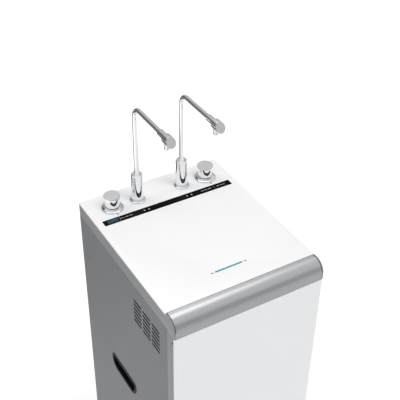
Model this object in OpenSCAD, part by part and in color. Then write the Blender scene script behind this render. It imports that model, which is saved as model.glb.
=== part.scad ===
// Free-standing hot and cold water purifier, in millimetres.
// Origin: on the floor, at the middle of the footprint. +Z is up, the door faces -Y.

/* [Cabinet] */
// Width across the two side panels
body_w = 340; // [330:1:380]
// Depth from the front of the door to the rear edge of the side panels
body_d = 423; // [410:1:470]
// Height from the floor to the top surface
body_h = 1000; // [960:5:1100]
// Thickness of the sheet steel panels
sheet_t = 1.2; // [0.8:0.1:1.6]
// Wall of the moulded pieces
wall_t = 3; // [2.5:0.1:4]
// Inward return along the front and rear edges of a side panel
return_w = 15; // [12:1:20]

/* [Base and feet] */
// Height of a foot
foot_h = 18; // [14:1:30]
// Radius of a foot on the floor
foot_r = 18; // [14:1:22]
// Distance from the outside of the base to a foot's axis
foot_in = 40; // [30:1:60]
// Height of the moulded base
base_h = 50; // [44:1:70]
// Side and rear walls of the base
base_wall = 4; // [3:0.1:6]
// How far the base stands back from the front of the door
base_set = 6; // [2:0.5:8]

/* [Top] */
// Thickness of the white top panel
panel_t = 4; // [3:0.1:6]
// Thickness of the moulded deck under the top panel
deck_t = 3; // [2.5:0.1:4]
// Height of the side of the top cover, from the top surface down
cap_h = 35; // [30:0.5:45]
// Outer radius of the rounded front trim
nose_r = 26; // [20:0.5:30]
// Height of the front trim
nose_h = 40; // [38:0.5:50]
// Depth of the front trim along the top
nose_d = 33.4; // [32:0.2:45]
// Wall of the front trim
nose_t = 2.5; // [2:0.1:3]
// Return along the lower edge of the front trim
nose_return = 7; // [5:0.5:7.5]
// Open seam between the front trim and the top panel
seam = 1; // [0.3:0.1:1.2]

/* [Control strip and light] */
// Distance from the side to the end of the black control strip
strip_in = 15; // [12:1:30]
// Depth of the black control strip
strip_d = 16.8; // [14:0.2:20]
// Distance from the rear edge to the middle of the strip
strip_back = 95; // [92:1:110]
// How far the strip stands above the top panel
strip_proud = 0.4; // [0.2:0.1:1]
// Length of the light bar
led_w = 63; // [40:1:90]
// Depth of the light bar
led_d = 2.6; // [2:0.1:5]
// Distance from the front of the door to the light bar
led_front = 85.5; // [60:0.5:120]
// Length of the control board under the deck
board_w = 270; // [200:1:280]
// Depth of the control board
board_d = 34; // [24:1:40]
// Thickness of the control board
board_t = 1.6; // [1:0.1:2]
// Height of the spacers between the deck and the board
board_drop = 9; // [6:0.5:12]
// Radius of a spacer
post_r = 3; // [2:0.1:4]
// Length of a relay on the control board
relay_l = 22; // [18:0.5:28]
// Width of a relay
relay_w = 16; // [12:0.5:20]
// Height of a relay
relay_h = 14; // [10:0.5:18]

/* [Taps] */
// Distance from the middle to a tap's axis
tap_x = 54.5; // [46:0.5:60]
// Distance from the rear edge to the taps' and knobs' axes
tap_back = 52.5; // [48:0.5:56]
// Radius of the tap's foot
tap_flange_r = 17; // [16:0.5:20]
// Edge thickness of the tap's foot
tap_edge = 1.6; // [1:0.1:2.5]
// Radius of the tap's cone at its bottom
tap_cone_r = 13.6; // [12.5:0.1:14.5]
// Radius of the tap's cone at its top
tap_neck_r = 11.8; // [10:0.1:12.2]
// Height of the tap's cone above the edge of the foot
tap_cone_h = 57; // [50:0.5:70]
// Radius of the collar on top of the cone
collar_r = 12.6; // [12.3:0.1:13.5]
// Height of the collar
collar_h = 9; // [7:0.5:16]
// Radius of the threaded shank under the tap
shank_r = 8; // [7:0.1:10]
// Length of the shank below the top surface
shank_l = 32; // [26:0.5:38]
// Height of the nut under a tap
nut_h = 8; // [6:0.5:10]
// Wall of the nut at its corners
nut_wall = 5.6; // [4:0.1:6]
// Outer radius of the spout tube
tube_r = 5; // [4:0.1:6]
// Wall of the spout tube
tube_wall = 0.9; // [0.6:0.1:1.2]
// How deep the spout sits in the tap
spout_in = 44; // [30:0.5:50]
// Half thickness of the seal ring round a spout
seal_r = 1.1; // [0.8:0.1:1.4]

/* [Spouts] */
// Height of the spout's straight leg above the top surface
leg_top = 209; // [180:1:260]
// Middle radius of the spout's bend
bend_r = 23; // [16:0.5:28]
// Length of the arm from the bend to the end disc
arm_len = 131; // [115:1:165]
// Radius of the sleeve on the arm
sleeve_r = 7; // [6.6:0.1:8]
// Length of the sleeve
sleeve_l = 24; // [18:0.5:30]
// Radius of the spout's head
head_r = 10.2; // [9.5:0.1:13]
// Length of the head behind the end disc
head_l = 19; // [17:0.5:26]
// Thickness of the end disc along the arm
disc_t = 3; // [2:0.1:4]
// Lean of the end disc back from upright, in degrees
disc_lean = 28; // [0:1:32]
// Radius of the nozzle
nozzle_r = 4.8; // [4:0.1:5.5]
// Wall of the nozzle
nozzle_wall = 1.2; // [0.8:0.1:1.6]
// Distance from the end disc's face to the nozzle's axis
nozzle_back = 18; // [15:0.5:19]
// Drop of the nozzle's mouth below the arm's axis
nozzle_drop = 24; // [18:0.5:32]

/* [Knobs] */
// Distance from the side to a knob's axis
knob_in = 55; // [48:0.5:66]
// Radius of the knob's chrome body at the top
knob_r = 17; // [16:0.1:18]
// Radius of the knob's chrome body at the bottom
knob_foot_r = 16; // [15:0.1:16.6]
// Height of the knob's chrome body
knob_h = 22.5; // [16:0.5:30]
// Radius of the disc on the knob
knob_disc_r = 17.8; // [17:0.1:19]
// Thickness of the disc on the knob
knob_disc_t = 4; // [3:0.1:6]
// Radius of the fixed ring under the knob
ring_r = 23.8; // [21.5:0.1:25]
// Edge thickness of the fixed ring
ring_edge = 1.6; // [1:0.1:2.5]
// Height of the fixed ring
ring_h = 7; // [5:0.1:8]
// Radius of the ring's upper rim
ring_rim_r = 17.4; // [17:0.1:18]
// Gap between the ring and the turning knob
knob_gap = 0.6; // [0.4:0.1:1]
// Radius of the valve's stem
stem_r = 4; // [3:0.1:5]
// How far the stem reaches into the knob
stem_in = 14; // [8:0.5:16]
// Radius of the valve under a knob
valve_r = 15; // [12:0.5:17]
// Height of the valve below the deck
valve_h = 34; // [30:0.5:36]
// Radius of the valve's neck through the deck
neck_r = 8; // [7:0.1:10]
// Distance from the valve's axis to its side inlet
elbow_out = 26; // [22:0.5:30]
// Wall of the valve's side inlet
elbow_wall = 2; // [1.5:0.1:2.5]

/* [Hoses] */
// Radius of the hose nipples
nipple_r = 4.5; // [3.5:0.1:5]
// Wall of the hose nipples
nipple_wall = 1.5; // [1:0.1:2]
// Length of the hose nipples
nipple_l = 15; // [10:0.5:18]
// Outer radius of the hoses
hose_r = 6.5; // [6:0.1:7.5]

/* [Door] */
// Thickness of the door
door_t = 27.5; // [26:0.1:32]
// Thickness of the door's white front panel
door_skin = 4; // [3:0.1:6]
// Rounding of the front panel's upright edges
door_edge = 2; // [1:0.1:2.5]
// Gap round the door
door_gap = 1.5; // [1.2:0.1:3]
// Distance from the hinge axis to the door's side and to its back
hinge_r = 13; // [11:0.1:13.5]
// Radius of a hinge pin
pin_r = 3; // [2.5:0.1:4]
// Wall round a hinge pin in the base and in the top cover
boss_wall = 4; // [3:0.1:5]
// How far a hinge pin reaches into the door
pin_in = 14; // [10:0.5:20]
// How far a hinge pin is seated in the base and in the top cover
pin_seat = 10; // [8:0.5:12]
// Number of cross ribs inside the door
door_ribs = 5; // [3:1:8]
// Height of the door magnet
magnet_h = 50; // [30:1:80]
// Width of the door magnet
magnet_w = 9; // [6:0.5:11]
// Thickness of the door magnet
magnet_t = 10; // [8:0.5:14]

/* [Side vents and handles] */
// Number of vent slots one above another
vent_rows = 6; // [3:1:8]
// Number of vent columns
vent_cols = 3; // [2:1:3]
// Length of a vent slot
vent_l = 31; // [22:0.5:33]
// Height of a vent slot
vent_h = 3.4; // [2:0.1:5]
// Spacing of the vent rows
vent_dz = 10.7; // [9:0.1:14]
// Spacing of the vent columns
vent_dy = 38.5; // [35:0.5:38.5]
// Distance from the front of the door to the first vent column's start
vent_front = 59; // [55:0.5:64]
// Distance from the top surface down to the upper vent row
vent_drop = 75.5; // [65:0.5:100]
// Length of the hand pocket's mouth
handle_l = 106; // [96:1:120]
// Height of the hand pocket's mouth
handle_h = 30; // [27:0.5:40]
// Upright part of the ends of the hand pocket's mouth, above the round lower corners
handle_end = 11; // [9:0.5:14]
// Rounding of the hand pocket's upper corners
handle_corner = 4; // [2:0.5:5]
// Depth of the hand pocket
handle_deep = 32; // [26:1:40]
// Wall of the hand pocket
cup_wall = 2.2; // [1.6:0.1:3]
// Width of the rim round the hand pocket
rim_w = 3.8; // [3:0.1:6]
// Thickness of the rim round the hand pocket
rim_t = 1.5; // [1:0.1:2.5]
// Gap between the service wall and the hand pocket
handle_gap = 7.6; // [4:0.1:20]
// Distance from the tank shelf's edge down to the hand pocket's straight upper edge
handle_under = 20; // [10:0.5:40]

/* [Filter bay] */
// Distance from the front of the door to the wall behind the filters
bay_d = 171; // [169:0.5:173]
// Radius of a filter bowl
bowl_r = 40; // [34:0.5:43]
// Length of a filter bowl
bowl_l = 225; // [180:1:250]
// Radius of a filter head
filter_head_r = 45; // [44:0.5:48]
// Height of a filter head
filter_head_h = 42; // [34:1:50]
// Spacing of the filters
filter_dx = 102; // [98:1:106]
// Gap between the filter heads and the wall behind them
filter_off = 8; // [5:0.5:10]
// Height of the filter bracket above the top of the base
bracket_up = 300; // [296:1:320]
// Height of the bracket's upright leg
bracket_h = 50; // [30:1:60]
// Thickness of the filter bracket
bracket_t = 2; // [1.5:0.1:3]
// Radius of the membrane housing
membrane_r = 38; // [30:0.5:42]
// Gap between the membrane housing's port and the side panel
membrane_gap = 10; // [6:0.5:30]
// Radius of a fine filter cartridge
fine_r = 25; // [20:0.5:28]
// Length of a fine filter cartridge
fine_l = 250; // [200:1:280]
// Number of fine filter cartridges
fine_n = 4; // [1:1:4]
// Space between one cartridge and the next
fine_gap = 16; // [12:0.5:20]
// Gap between the cartridges and the wall behind them
cart_off = 14; // [8:0.5:20]
// Wall of a cartridge clip
clip_t = 2.4; // [1.6:0.1:3]
// Width of a cartridge clip
clip_w = 16; // [10:0.5:24]
// Radius of the pump's motor
motor_r = 30; // [24:0.5:33]
// Length of the pump's motor
motor_l = 84; // [70:1:100]
// Side of the pump's square head
pump_s = 62; // [56:1:70]
// Length of the pump's head
pump_l = 46; // [36:1:60]

/* [Tanks and cooling] */
// Space between the taller tank and the hose loops above it
tank_room = 26.75; // [16:0.25:40]
// Radius of the cold tank's foam jacket
cold_r = 78; // [66:0.5:79]
// Height of the cold tank
cold_h = 186; // [150:1:188]
// Radius of the hot tank
hot_r = 62; // [55:0.5:66]
// Height of the hot tank
hot_h = 178; // [150:1:188]
// Height of the storage tank
store_h = 290; // [240:1:340]
// Space between a tank and the panels beside it
tank_gap = 8; // [5:0.5:12]
// Radius of the compressor
comp_r = 62; // [55:0.5:66]
// Height of the compressor's shell
comp_h = 150; // [120:1:180]
// Height of the compressor's rubber mounts
mount_h = 14; // [10:0.5:20]
// Width of the compressor's terminal cover
tab_w = 52; // [40:1:60]
// Height of the compressor's terminal cover
tab_h = 44; // [34:1:60]
// Thickness of the compressor's terminal cover
tab_t = 24; // [16:1:30]
// Width of the power supply
supply_w = 110; // [80:1:130]
// Height of the power supply
supply_h = 150; // [100:1:180]
// Depth of the power supply
supply_d = 48; // [36:1:60]

/* [Rear] */
// Distance from the rear panel to the middle of the condenser's tube
cond_stand = 22; // [18:0.5:30]
// Length of the condenser's straight runs
cond_w = 250; // [220:1:270]
// Number of the condenser's runs
cond_rows = 13; // [6:1:14]
// Spacing of the condenser's runs
cond_dz = 38; // [30:1:40]
// Height of the condenser's lowest run above the top of the base
cond_up = 300; // [260:1:320]
// Radius of the condenser's tube
cond_r = 2.4; // [2:0.1:3.5]
// Radius of the condenser's wires
wire_r = 0.8; // [0.6:0.1:1.2]
// Spacing of the condenser's wires
wire_dx = 10; // [8:0.5:14]
// Width of a switch's opening
switch_w = 13; // [11:0.5:16]
// Height of a switch's opening
switch_h = 23; // [22.6:0.1:28]
// Rim round a switch
switch_rim = 3; // [2:0.1:4]
// Depth of a switch behind the rear panel
switch_deep = 18; // [14:0.5:24]
// Height of a rocker
rocker_h = 19; // [15:0.5:19.5]
// Tilt of a rocker to each side of the middle, in degrees
rocker_tilt = 9; // [6:0.5:10]
// Radius of a rocker's pivots
pivot_r = 1.6; // [1.2:0.1:2]
// Spacing of the two switches
switch_dx = 34; // [26:1:44]
// Distance from the side to the nearer switch
switch_in = 50; // [36:1:70]
// Distance from the top surface down to the switches
switch_drop = 66; // [62:0.5:72]
// Radius of the water tubes that push into the rear fittings
water_r = 3.2; // [2.5:0.05:5]
// Wall of the rear fittings
fitting_wall = 4; // [3:0.1:5]
// Spacing of the rear fittings
fitting_dx = 44; // [34:1:60]
// Height of the rear fittings above the top of the base
fitting_up = 80; // [50:1:110]
// Radius of the hole for the mains lead
cord_r = 4; // [3:0.1:5]
// Wall of the bush round the mains lead
gland_wall = 3.5; // [2.5:0.1:5]
// Number of vent rows in the rear panel
rear_rows = 8; // [4:1:10]
// Length of a vent slot in the rear panel
rear_slot_l = 85; // [60:1:100]
// Height of a vent slot in the rear panel
rear_slot_h = 4; // [3:0.1:6]
// Spacing of the vent rows in the rear panel
rear_slot_dz = 17; // [12:0.5:18]
// Space between the two vent columns in the rear panel
rear_slot_gap = 17; // [10:0.5:30]

/* [Fits] */
// Radial gap of a turning fit
run_gap = 0.05; // [0.02:0.01:0.09]
// Gap round a piece that drops into a hole
part_gap = 0.3; // [0.2:0.05:0.5]

/* [Edges] */
// Rounding of the finest edges
fine_edge = 0.5; // [0.3:0.1:0.7]
// Rounding of small edges
small_edge = 1; // [0.7:0.1:1.2]
// Rounding of soft edges
soft_edge = 2; // [1.5:0.1:2.5]
// Rounding of the edges on cartridges and motors
big_edge = 4; // [3:0.1:5]
// Rounding of the edges on tanks
tank_edge = 6; // [5:0.1:8]

/* [Hidden] */
$fn = 64;
// Overrun of a cutter past the face that it opens
over = 1;

// Main planes of the cabinet
wire_off = cond_r + wire_r + run_gap;
rear_reach = cond_stand + wire_off + wire_r;
front_y = -(body_d + rear_reach) / 2;
rear_y = front_y + body_d;
side_x = body_w / 2;
inner_x = side_x - sheet_t;
base_z = foot_h + base_h;
floor_z = foot_h + wall_t;
top_z = body_h;
deck_z = top_z - panel_t;
deck_low = deck_z - deck_t;
cap_z = top_z - cap_h;
nose_z = top_z - nose_h;
side_y = front_y + door_t + door_gap;
back_y = rear_y - sheet_t;
wall_y = front_y + bay_d;
base_y = front_y + base_set;
sill_y = side_y + return_w;
tap_y = rear_y - tap_back;
strip_y = rear_y - strip_back;
led_y = front_y + led_front;
strip_w = body_w - 2 * strip_in;
knob_x = side_x - knob_in;

// Door and hinge
door_z0 = base_z + door_gap;
door_z1 = nose_z - door_gap;
hinge_x = side_x - hinge_r;
hinge_y = front_y + door_t - hinge_r;
boss_r = pin_r + boss_wall;

// Tap heights, measured from the top surface
collar_z = tap_edge + tap_cone_h;
socket_top = collar_z + collar_h;
socket_z = socket_top - spout_in;
spout_z = socket_z + part_gap;
bore_r = tube_r - tube_wall;
seal_groove = tube_r + 2 * seal_r;
seal_z = collar_z + collar_h / 2;
nut_r = shank_r + nut_wall;
disc_reach = head_r * tan(disc_lean) + small_edge;
nipple_bore = nipple_r - nipple_wall;

// Knob heights, measured from the top surface
knob_z = ring_h + knob_gap;
knob_top = knob_z + knob_h;
stem_top = knob_z + stem_in;
stem_low = -panel_t - deck_t - valve_h / 2;
elbow_r = nipple_r + elbow_wall;
inlet_r = 1.15 * elbow_r;
elbow_z = deck_low - valve_h / 2;
elbow_low = elbow_z - inlet_r;

// Hose loops between the valves and the taps
loop_r = (knob_x - tap_x) / 2;
tap_end = top_z - shank_l;
valve_end = deck_low - valve_h;
loop_z = min(tap_end, valve_end) - nipple_l - hose_r;
loop_low = loop_z - loop_r - hose_r;

// Tank shelf, hung below the hose loops
shelf_z = loop_low - tank_room - max(cold_h, hot_h);

// Hand pocket
pocket_z = shelf_z - return_w - handle_under - handle_h / 2;
pocket_y = wall_y + sheet_t + handle_gap + cup_wall + handle_l / 2;
handle_low = handle_h - handle_end;

// Filter bay, stacked upwards from the bracket
membrane_l = 2 * (inner_x - membrane_gap - nipple_l);
bracket_z = base_z + bracket_up;
filter_y = wall_y - filter_off - filter_head_r;
barrel_r = membrane_r - wall_t;
membrane_z = bracket_z + bracket_h + fine_gap + membrane_r;
fine_z0 = membrane_z + membrane_r + fine_gap + fine_r;
fine_dz = 2 * fine_r + fine_gap;
pump_z = fine_z0 + (fine_n - 1) * fine_dz + fine_r + fine_gap + pump_s / 2;
pump_y = wall_y - cart_off - pump_s / 2;

// Tanks
cold_x = -(inner_x - tank_gap - cold_r);
cold_y = back_y - sheet_t - tank_gap - cold_r;
hot_x = inner_x - tank_gap - hot_r;
hot_y = back_y - sheet_t - tank_gap - hot_r;
low_y = (wall_y + sheet_t + back_y) / 2;
plate_w = 2 * comp_r + 2 * tank_gap;
comp_x = side_x - base_wall - tank_gap - plate_w / 2;
store_r = (body_w - 2 * base_wall - 3 * tank_gap - plate_w) / 2;
store_x = -(side_x - base_wall - tank_gap - store_r);
comp_z = floor_z + mount_h + wall_t;

// Rear
cond_y = rear_y + cond_stand;
cond_z = base_z + cond_up;
cond_h = (cond_rows - 1) * cond_dz;
wire_n = floor(cond_w / wire_dx);
switch_z = top_z - switch_drop;
switch_x = [side_x - switch_in - switch_dx, side_x - switch_in];
rocker_w = switch_w - 2 * part_gap;
fitting_z = base_z + fitting_up;
fitting_r = water_r + fitting_wall;
flange_r = fitting_r + fitting_wall;
fitting_x0 = side_x - 2 * return_w - flange_r;
fitting_x = [fitting_x0 - fitting_dx, fitting_x0];
gland_r = cord_r + gland_wall;
gland_x = -(side_x - 2 * return_w - gland_r);

// Puts children on the left, or mirrored on the right
module on_side(side) {
    if (side > 0) mirror([1, 0, 0]) children();
    else children();
}

// Extrudes a (y, z) outline from x0 to x1
module along_x(x0, x1) {
    translate([x0, 0, 0]) rotate([90, 0, 90]) linear_extrude(x1 - x0) children();
}

// Extrudes an (x, z) outline from y0 to y1
module along_y(y0, y1) {
    translate([0, y1, 0]) rotate([90, 0, 0]) linear_extrude(y1 - y0) children();
}

// A plain tube along Z
module pipe(r_out, r_in, h) {
    difference() {
        cylinder(r = r_out, h = h);
        translate([0, 0, -over]) cylinder(r = r_in, h = h + 2 * over);
    }
}

// A centred rectangle with round corners
module round_rect(w, h, r) {
    square([w - 2 * r, h], center = true);
    square([w, h - 2 * r], center = true);
    for (i = [-1, 1], j = [-1, 1])
        translate([i * (w / 2 - r), j * (h / 2 - r)]) circle(r);
}

// A slot with round ends, along the first axis
module slot(l, h) {
    square([l - h, h], center = true);
    for (i = [-1, 1]) translate([i * (l - h) / 2, 0]) circle(h / 2);
}

// Half section of a drum whose upper and lower edges are rounded
module drum_half(r, h, e_low, e_top) {
    translate([0, e_low]) square([r, h - e_low - e_top]);
    square([r - e_low, h]);
    translate([0, h / 2]) square([r - e_top, h / 2]);
    translate([r - e_low, e_low]) intersection() {
        circle(e_low);
        translate([0, -e_low]) square(e_low);
    }
    translate([r - e_top, h - e_top]) intersection() {
        circle(e_top);
        square(e_top);
    }
}

// Half section of a foot that sweeps up in a hollow curve from an edge to a stem
module flared_half(r_edge, edge, r_stem, h) {
    curve = r_edge - r_stem;
    square([r_edge, edge]);
    square([r_stem, h]);
    difference() {
        translate([0, edge]) square([r_edge, curve]);
        translate([r_edge, edge + curve]) circle(curve);
    }
}

// Side view of the front trim, from the door's front and the top surface
module nose_outline(inset) {
    difference() {
        translate([inset, -nose_h]) square([nose_d - inset, nose_h - inset]);
        difference() {
            translate([inset, -nose_r]) square(nose_r - inset);
            translate([nose_r, -nose_r]) circle(nose_r - inset);
        }
    }
}

// Mouth of the hand pocket: small corners above, large round corners below
module pocket_outline(grow) {
    intersection() {
        round_rect(handle_l + 2 * grow, handle_h + 2 * grow, handle_corner + grow);
        translate([0, handle_h / 2])
            round_rect(handle_l + 2 * grow, 2 * handle_h + 2 * grow, handle_low + grow);
    }
}

// Moulded base: a tray behind, a hollow sill under the door
module base_pan() {
    sill_d = sill_y - base_y;
    color("#5b5d60") difference() {
        translate([-side_x, base_y, foot_h]) cube([body_w, rear_y - base_y, base_h]);
        translate([-side_x + base_wall, sill_y, floor_z])
            cube([body_w - 2 * base_wall, rear_y - base_wall - sill_y, base_h]);
        difference() {
            translate([-side_x + base_wall, base_y + base_wall, foot_h - over])
                cube([body_w - 2 * base_wall, sill_d - 2 * base_wall, base_h - wall_t + over]);
            translate([hinge_x, hinge_y, foot_h - 2 * over]) cylinder(r = boss_r, h = base_h);
        }
        translate([hinge_x, hinge_y, base_z - pin_seat])
            cylinder(r = pin_r + run_gap, h = pin_seat + over);
    }
}

// Four rubber feet under the base
module feet() {
    color("#1c1c1e") for (x = [-side_x + foot_in, side_x - foot_in],
            y = [base_y + foot_in, rear_y - foot_in])
        translate([x, y, 0]) rotate_extrude() {
            drum_half(foot_r, foot_h / 2, small_edge, soft_edge);
            square([foot_r / 2, foot_h]);
        }
}

// Steel side panel with its returns, vents and hand hole
module side_panel(side) {
    color("#7e7f81") on_side(side) difference() {
        translate([-side_x, 0, base_z]) linear_extrude(cap_z - base_z) {
            translate([0, side_y]) square([sheet_t, rear_y - side_y]);
            translate([0, side_y]) square([return_w, sheet_t]);
            translate([0, back_y - sheet_t]) square([return_w, sheet_t]);
        }
        along_x(-side_x - over, -side_x + sheet_t + over) {
            for (c = [0:vent_cols - 1], r = [0:vent_rows - 1])
                translate([front_y + vent_front + vent_l / 2 + c * vent_dy,
                        top_z - vent_drop - r * vent_dz])
                    slot(vent_l, vent_h);
            translate([pocket_y, pocket_z]) pocket_outline(cup_wall + part_gap);
        }
    }
}

// Moulded hand pocket that fills the hole in a side panel
module handle_cup(side) {
    color("#222325") on_side(side) difference() {
        union() {
            along_x(-side_x - rim_t, -side_x)
                translate([pocket_y, pocket_z]) pocket_outline(cup_wall + rim_w);
            along_x(-side_x - rim_t, -side_x + handle_deep)
                translate([pocket_y, pocket_z]) pocket_outline(cup_wall);
        }
        along_x(-side_x - rim_t - over, -side_x + handle_deep - cup_wall)
            translate([pocket_y, pocket_z]) pocket_outline(0);
    }
}

// Steel rear panel with its vents and the holes for what sits in it
module rear_panel() {
    vent_z = fitting_z + 2 * flange_r;
    color("#8d8f91") along_y(back_y, rear_y) difference() {
        translate([-inner_x, base_z]) square([2 * inner_x, cap_z - base_z]);
        for (i = [-1, 1], r = [0:rear_rows - 1])
            translate([i * (rear_slot_l + rear_slot_gap) / 2, vent_z + r * rear_slot_dz])
                slot(rear_slot_l, rear_slot_h);
        for (x = switch_x) translate([x, switch_z])
            square([switch_w + wall_t + part_gap, switch_h + wall_t + part_gap], center = true);
        for (x = fitting_x) translate([x, fitting_z]) circle(fitting_r + part_gap);
        translate([gland_x, fitting_z]) circle(gland_r + part_gap);
    }
}

// Steel wall between the filter bay and the tanks
module service_wall() {
    cover_x = side_x - wall_t;
    color("#a4a6a8") translate([0, wall_y, 0]) {
        translate([-inner_x, 0, base_z]) cube([2 * inner_x, sheet_t, cap_z - base_z]);
        translate([-cover_x, 0, base_z]) cube([2 * cover_x, sheet_t, deck_low - base_z]);
    }
}

// Steel shelf that carries the two tanks
module tank_shelf() {
    y0 = wall_y + sheet_t;
    y1 = back_y - sheet_t;
    color("#a4a6a8") {
        translate([-inner_x, y0, shelf_z - sheet_t]) cube([2 * inner_x, y1 - y0, sheet_t]);
        for (y = [y0, y1 - sheet_t])
            translate([-inner_x, y, shelf_z - return_w]) cube([2 * inner_x, sheet_t, return_w]);
    }
}

// Moulded top cover: deck, skirt, cheeks beside the front trim and the hinge block
module top_cover() {
    block_x = hinge_x - boss_r;
    block_y = front_y + nose_return + part_gap;
    color("#8f9092") difference() {
        union() {
            for (x = [-side_x, side_x - wall_t]) along_x(x, x + wall_t) cheek_outline();
            translate([-side_x, rear_y - wall_t, cap_z]) cube([body_w, wall_t, deck_z - cap_z]);
            translate([-side_x, front_y + nose_r, deck_low])
                cube([body_w, body_d - nose_r, deck_t]);
            translate([block_x, block_y, nose_z])
                cube([side_x - wall_t - block_x, front_y + door_t - block_y, pin_seat + wall_t]);
        }
        for (i = [-1, 1]) {
            translate([i * tap_x, tap_y, deck_low - over])
                cylinder(r = shank_r + part_gap, h = deck_t + 2 * over);
            translate([i * knob_x, tap_y, deck_low - over])
                cylinder(r = neck_r + part_gap, h = deck_t + 2 * over);
        }
        translate([hinge_x, hinge_y, nose_z - over])
            cylinder(r = pin_r + run_gap, h = pin_seat + over);
    }
}

// Side view of the top cover: the rounded nose over the door, then the skirt behind it
module cheek_outline() {
    skirt_z = max(cap_z, nose_z);
    difference() {
        translate([front_y, top_z]) nose_outline(0);
        translate([front_y + door_t, nose_z - over]) square([nose_d, skirt_z - nose_z + over]);
    }
    translate([front_y + nose_r, skirt_z]) square([body_d - nose_r, deck_z - skirt_z]);
    translate([side_y, cap_z]) square([rear_y - side_y, deck_z - cap_z]);
}

// White panel over the deck
module top_panel() {
    y0 = front_y + nose_d + seam;
    color("#f4f5f6") translate([0, 0, deck_z]) linear_extrude(panel_t) difference() {
        translate([-side_x, y0]) square([body_w, rear_y - y0]);
        for (i = [-1, 1]) {
            translate([i * tap_x, tap_y]) circle(shank_r + part_gap);
            translate([i * knob_x, tap_y]) circle(neck_r + part_gap);
        }
        translate([0, strip_y]) square([strip_w + 2 * part_gap, strip_d + 2 * part_gap], center = true);
        translate([0, led_y]) square([led_w + 2 * part_gap, led_d + 2 * part_gap], center = true);
    }
}

// Aluminium front trim, an open extrusion with a lip behind and a return below
module nose_trim() {
    lip = front_y + nose_d;
    color("#b9bbbd") along_x(-side_x + wall_t, side_x - wall_t) {
        translate([front_y, top_z]) difference() {
            nose_outline(0);
            nose_outline(nose_t);
        }
        translate([lip - nose_t, deck_z]) square([nose_t, panel_t]);
        translate([front_y, nose_z]) square([nose_return, nose_t]);
    }
}

// Black glass strip with the display and the touch marks
module control_strip() {
    color("#0a0b0d") translate([0, strip_y, deck_z]) linear_extrude(panel_t + strip_proud)
        square([strip_w, strip_d], center = true);
}

// Light bar near the front of the top
module led_bar() {
    color("#38b6d8") translate([0, led_y, deck_z]) linear_extrude(panel_t)
        slot(led_w, led_d);
}

// Control board hung under the deck on spacers, with its relays
module control_board() {
    low = deck_low - board_drop - board_t;
    color("#2e6b43") translate([0, strip_y, 0]) {
        translate([0, 0, low]) linear_extrude(board_t) square([board_w, board_d], center = true);
        for (i = [-1, 1], j = [-1, 1])
            translate([i * (board_w / 2 - 2 * post_r), j * (board_d / 2 - 2 * post_r), low])
                cylinder(r = post_r, h = board_t + board_drop);
        for (i = [-1:1])
            translate([i * board_w / 4, 0, low - relay_h / 2])
                cube([relay_l, relay_w, relay_h], center = true);
    }
}

// Chrome tap body: flared foot, cone, collar and threaded shank
module tap_body(side) {
    color("#d9dbdd") translate([side * tap_x, tap_y, top_z]) difference() {
        union() {
            rotate_extrude() flared_half(tap_flange_r, tap_edge, tap_cone_r - part_gap, tap_edge);
            translate([0, 0, tap_edge])
                cylinder(r1 = tap_cone_r, r2 = tap_neck_r, h = tap_cone_h);
            translate([0, 0, collar_z]) rotate_extrude()
                drum_half(collar_r, collar_h, small_edge, soft_edge);
            translate([0, 0, -shank_l]) cylinder(r = shank_r, h = shank_l);
            translate([0, 0, -shank_l - nipple_l]) cylinder(r = nipple_r, h = nipple_l);
        }
        translate([0, 0, socket_z]) cylinder(r = tube_r + run_gap, h = spout_in + over);
        translate([0, 0, seal_z - seal_r]) cylinder(r = seal_groove, h = 2 * seal_r);
        translate([0, 0, -shank_l - nipple_l - over])
            cylinder(r = nipple_bore, h = socket_z + shank_l + nipple_l + 2 * over);
    }
}

// Nuts that clamp the taps to the deck
module tap_nuts() {
    color("#c9a24a") for (i = [-1, 1]) translate([i * tap_x, tap_y, deck_low - nut_h])
        difference() {
            cylinder(r = nut_r, h = nut_h, $fn = 6);
            translate([0, 0, -over]) cylinder(r = shank_r + run_gap, h = nut_h + 2 * over);
        }
}

// Rubber rings that seal the spouts in the taps
module spout_seals() {
    color("#202020") for (i = [-1, 1]) translate([i * tap_x, tap_y, top_z + seal_z])
        rotate_extrude() translate([tube_r + seal_r, 0]) circle(seal_r - run_gap);
}

// Path of the spout: leg, bend and the start of the arm, as a solid rod
module spout_rod(r, z0, arm) {
    translate([0, 0, z0]) cylinder(r = r, h = leg_top - z0);
    translate([0, -bend_r, leg_top]) rotate([90, 0, 90])
        rotate_extrude(angle = 90) translate([bend_r, 0]) circle(r);
    on_arm(0) cylinder(r = r, h = arm);
}

// Frame on the arm: +Z forwards along it, +Y upwards
module on_arm(s) {
    translate([0, -bend_r, leg_top + bend_r]) rotate([90, 0, 0]) translate([0, 0, s])
        children();
}

// Everything in front of the slanted plane that crosses the arm's axis at s
module past_face(s) {
    wide = 4 * head_r;
    on_arm(s) rotate([-disc_lean, 0, 0]) translate([-wide / 2, -wide / 2, 0])
        cube([wide, wide, wide]);
}

// Bent chrome tube of a spout
module spout_tube(side) {
    arm = arm_len - disc_t - head_l;
    color("#d9dbdd") translate([side * tap_x, tap_y, top_z]) difference() {
        spout_rod(tube_r, spout_z, arm);
        spout_rod(bore_r, spout_z - over, arm + over);
    }
}

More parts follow.
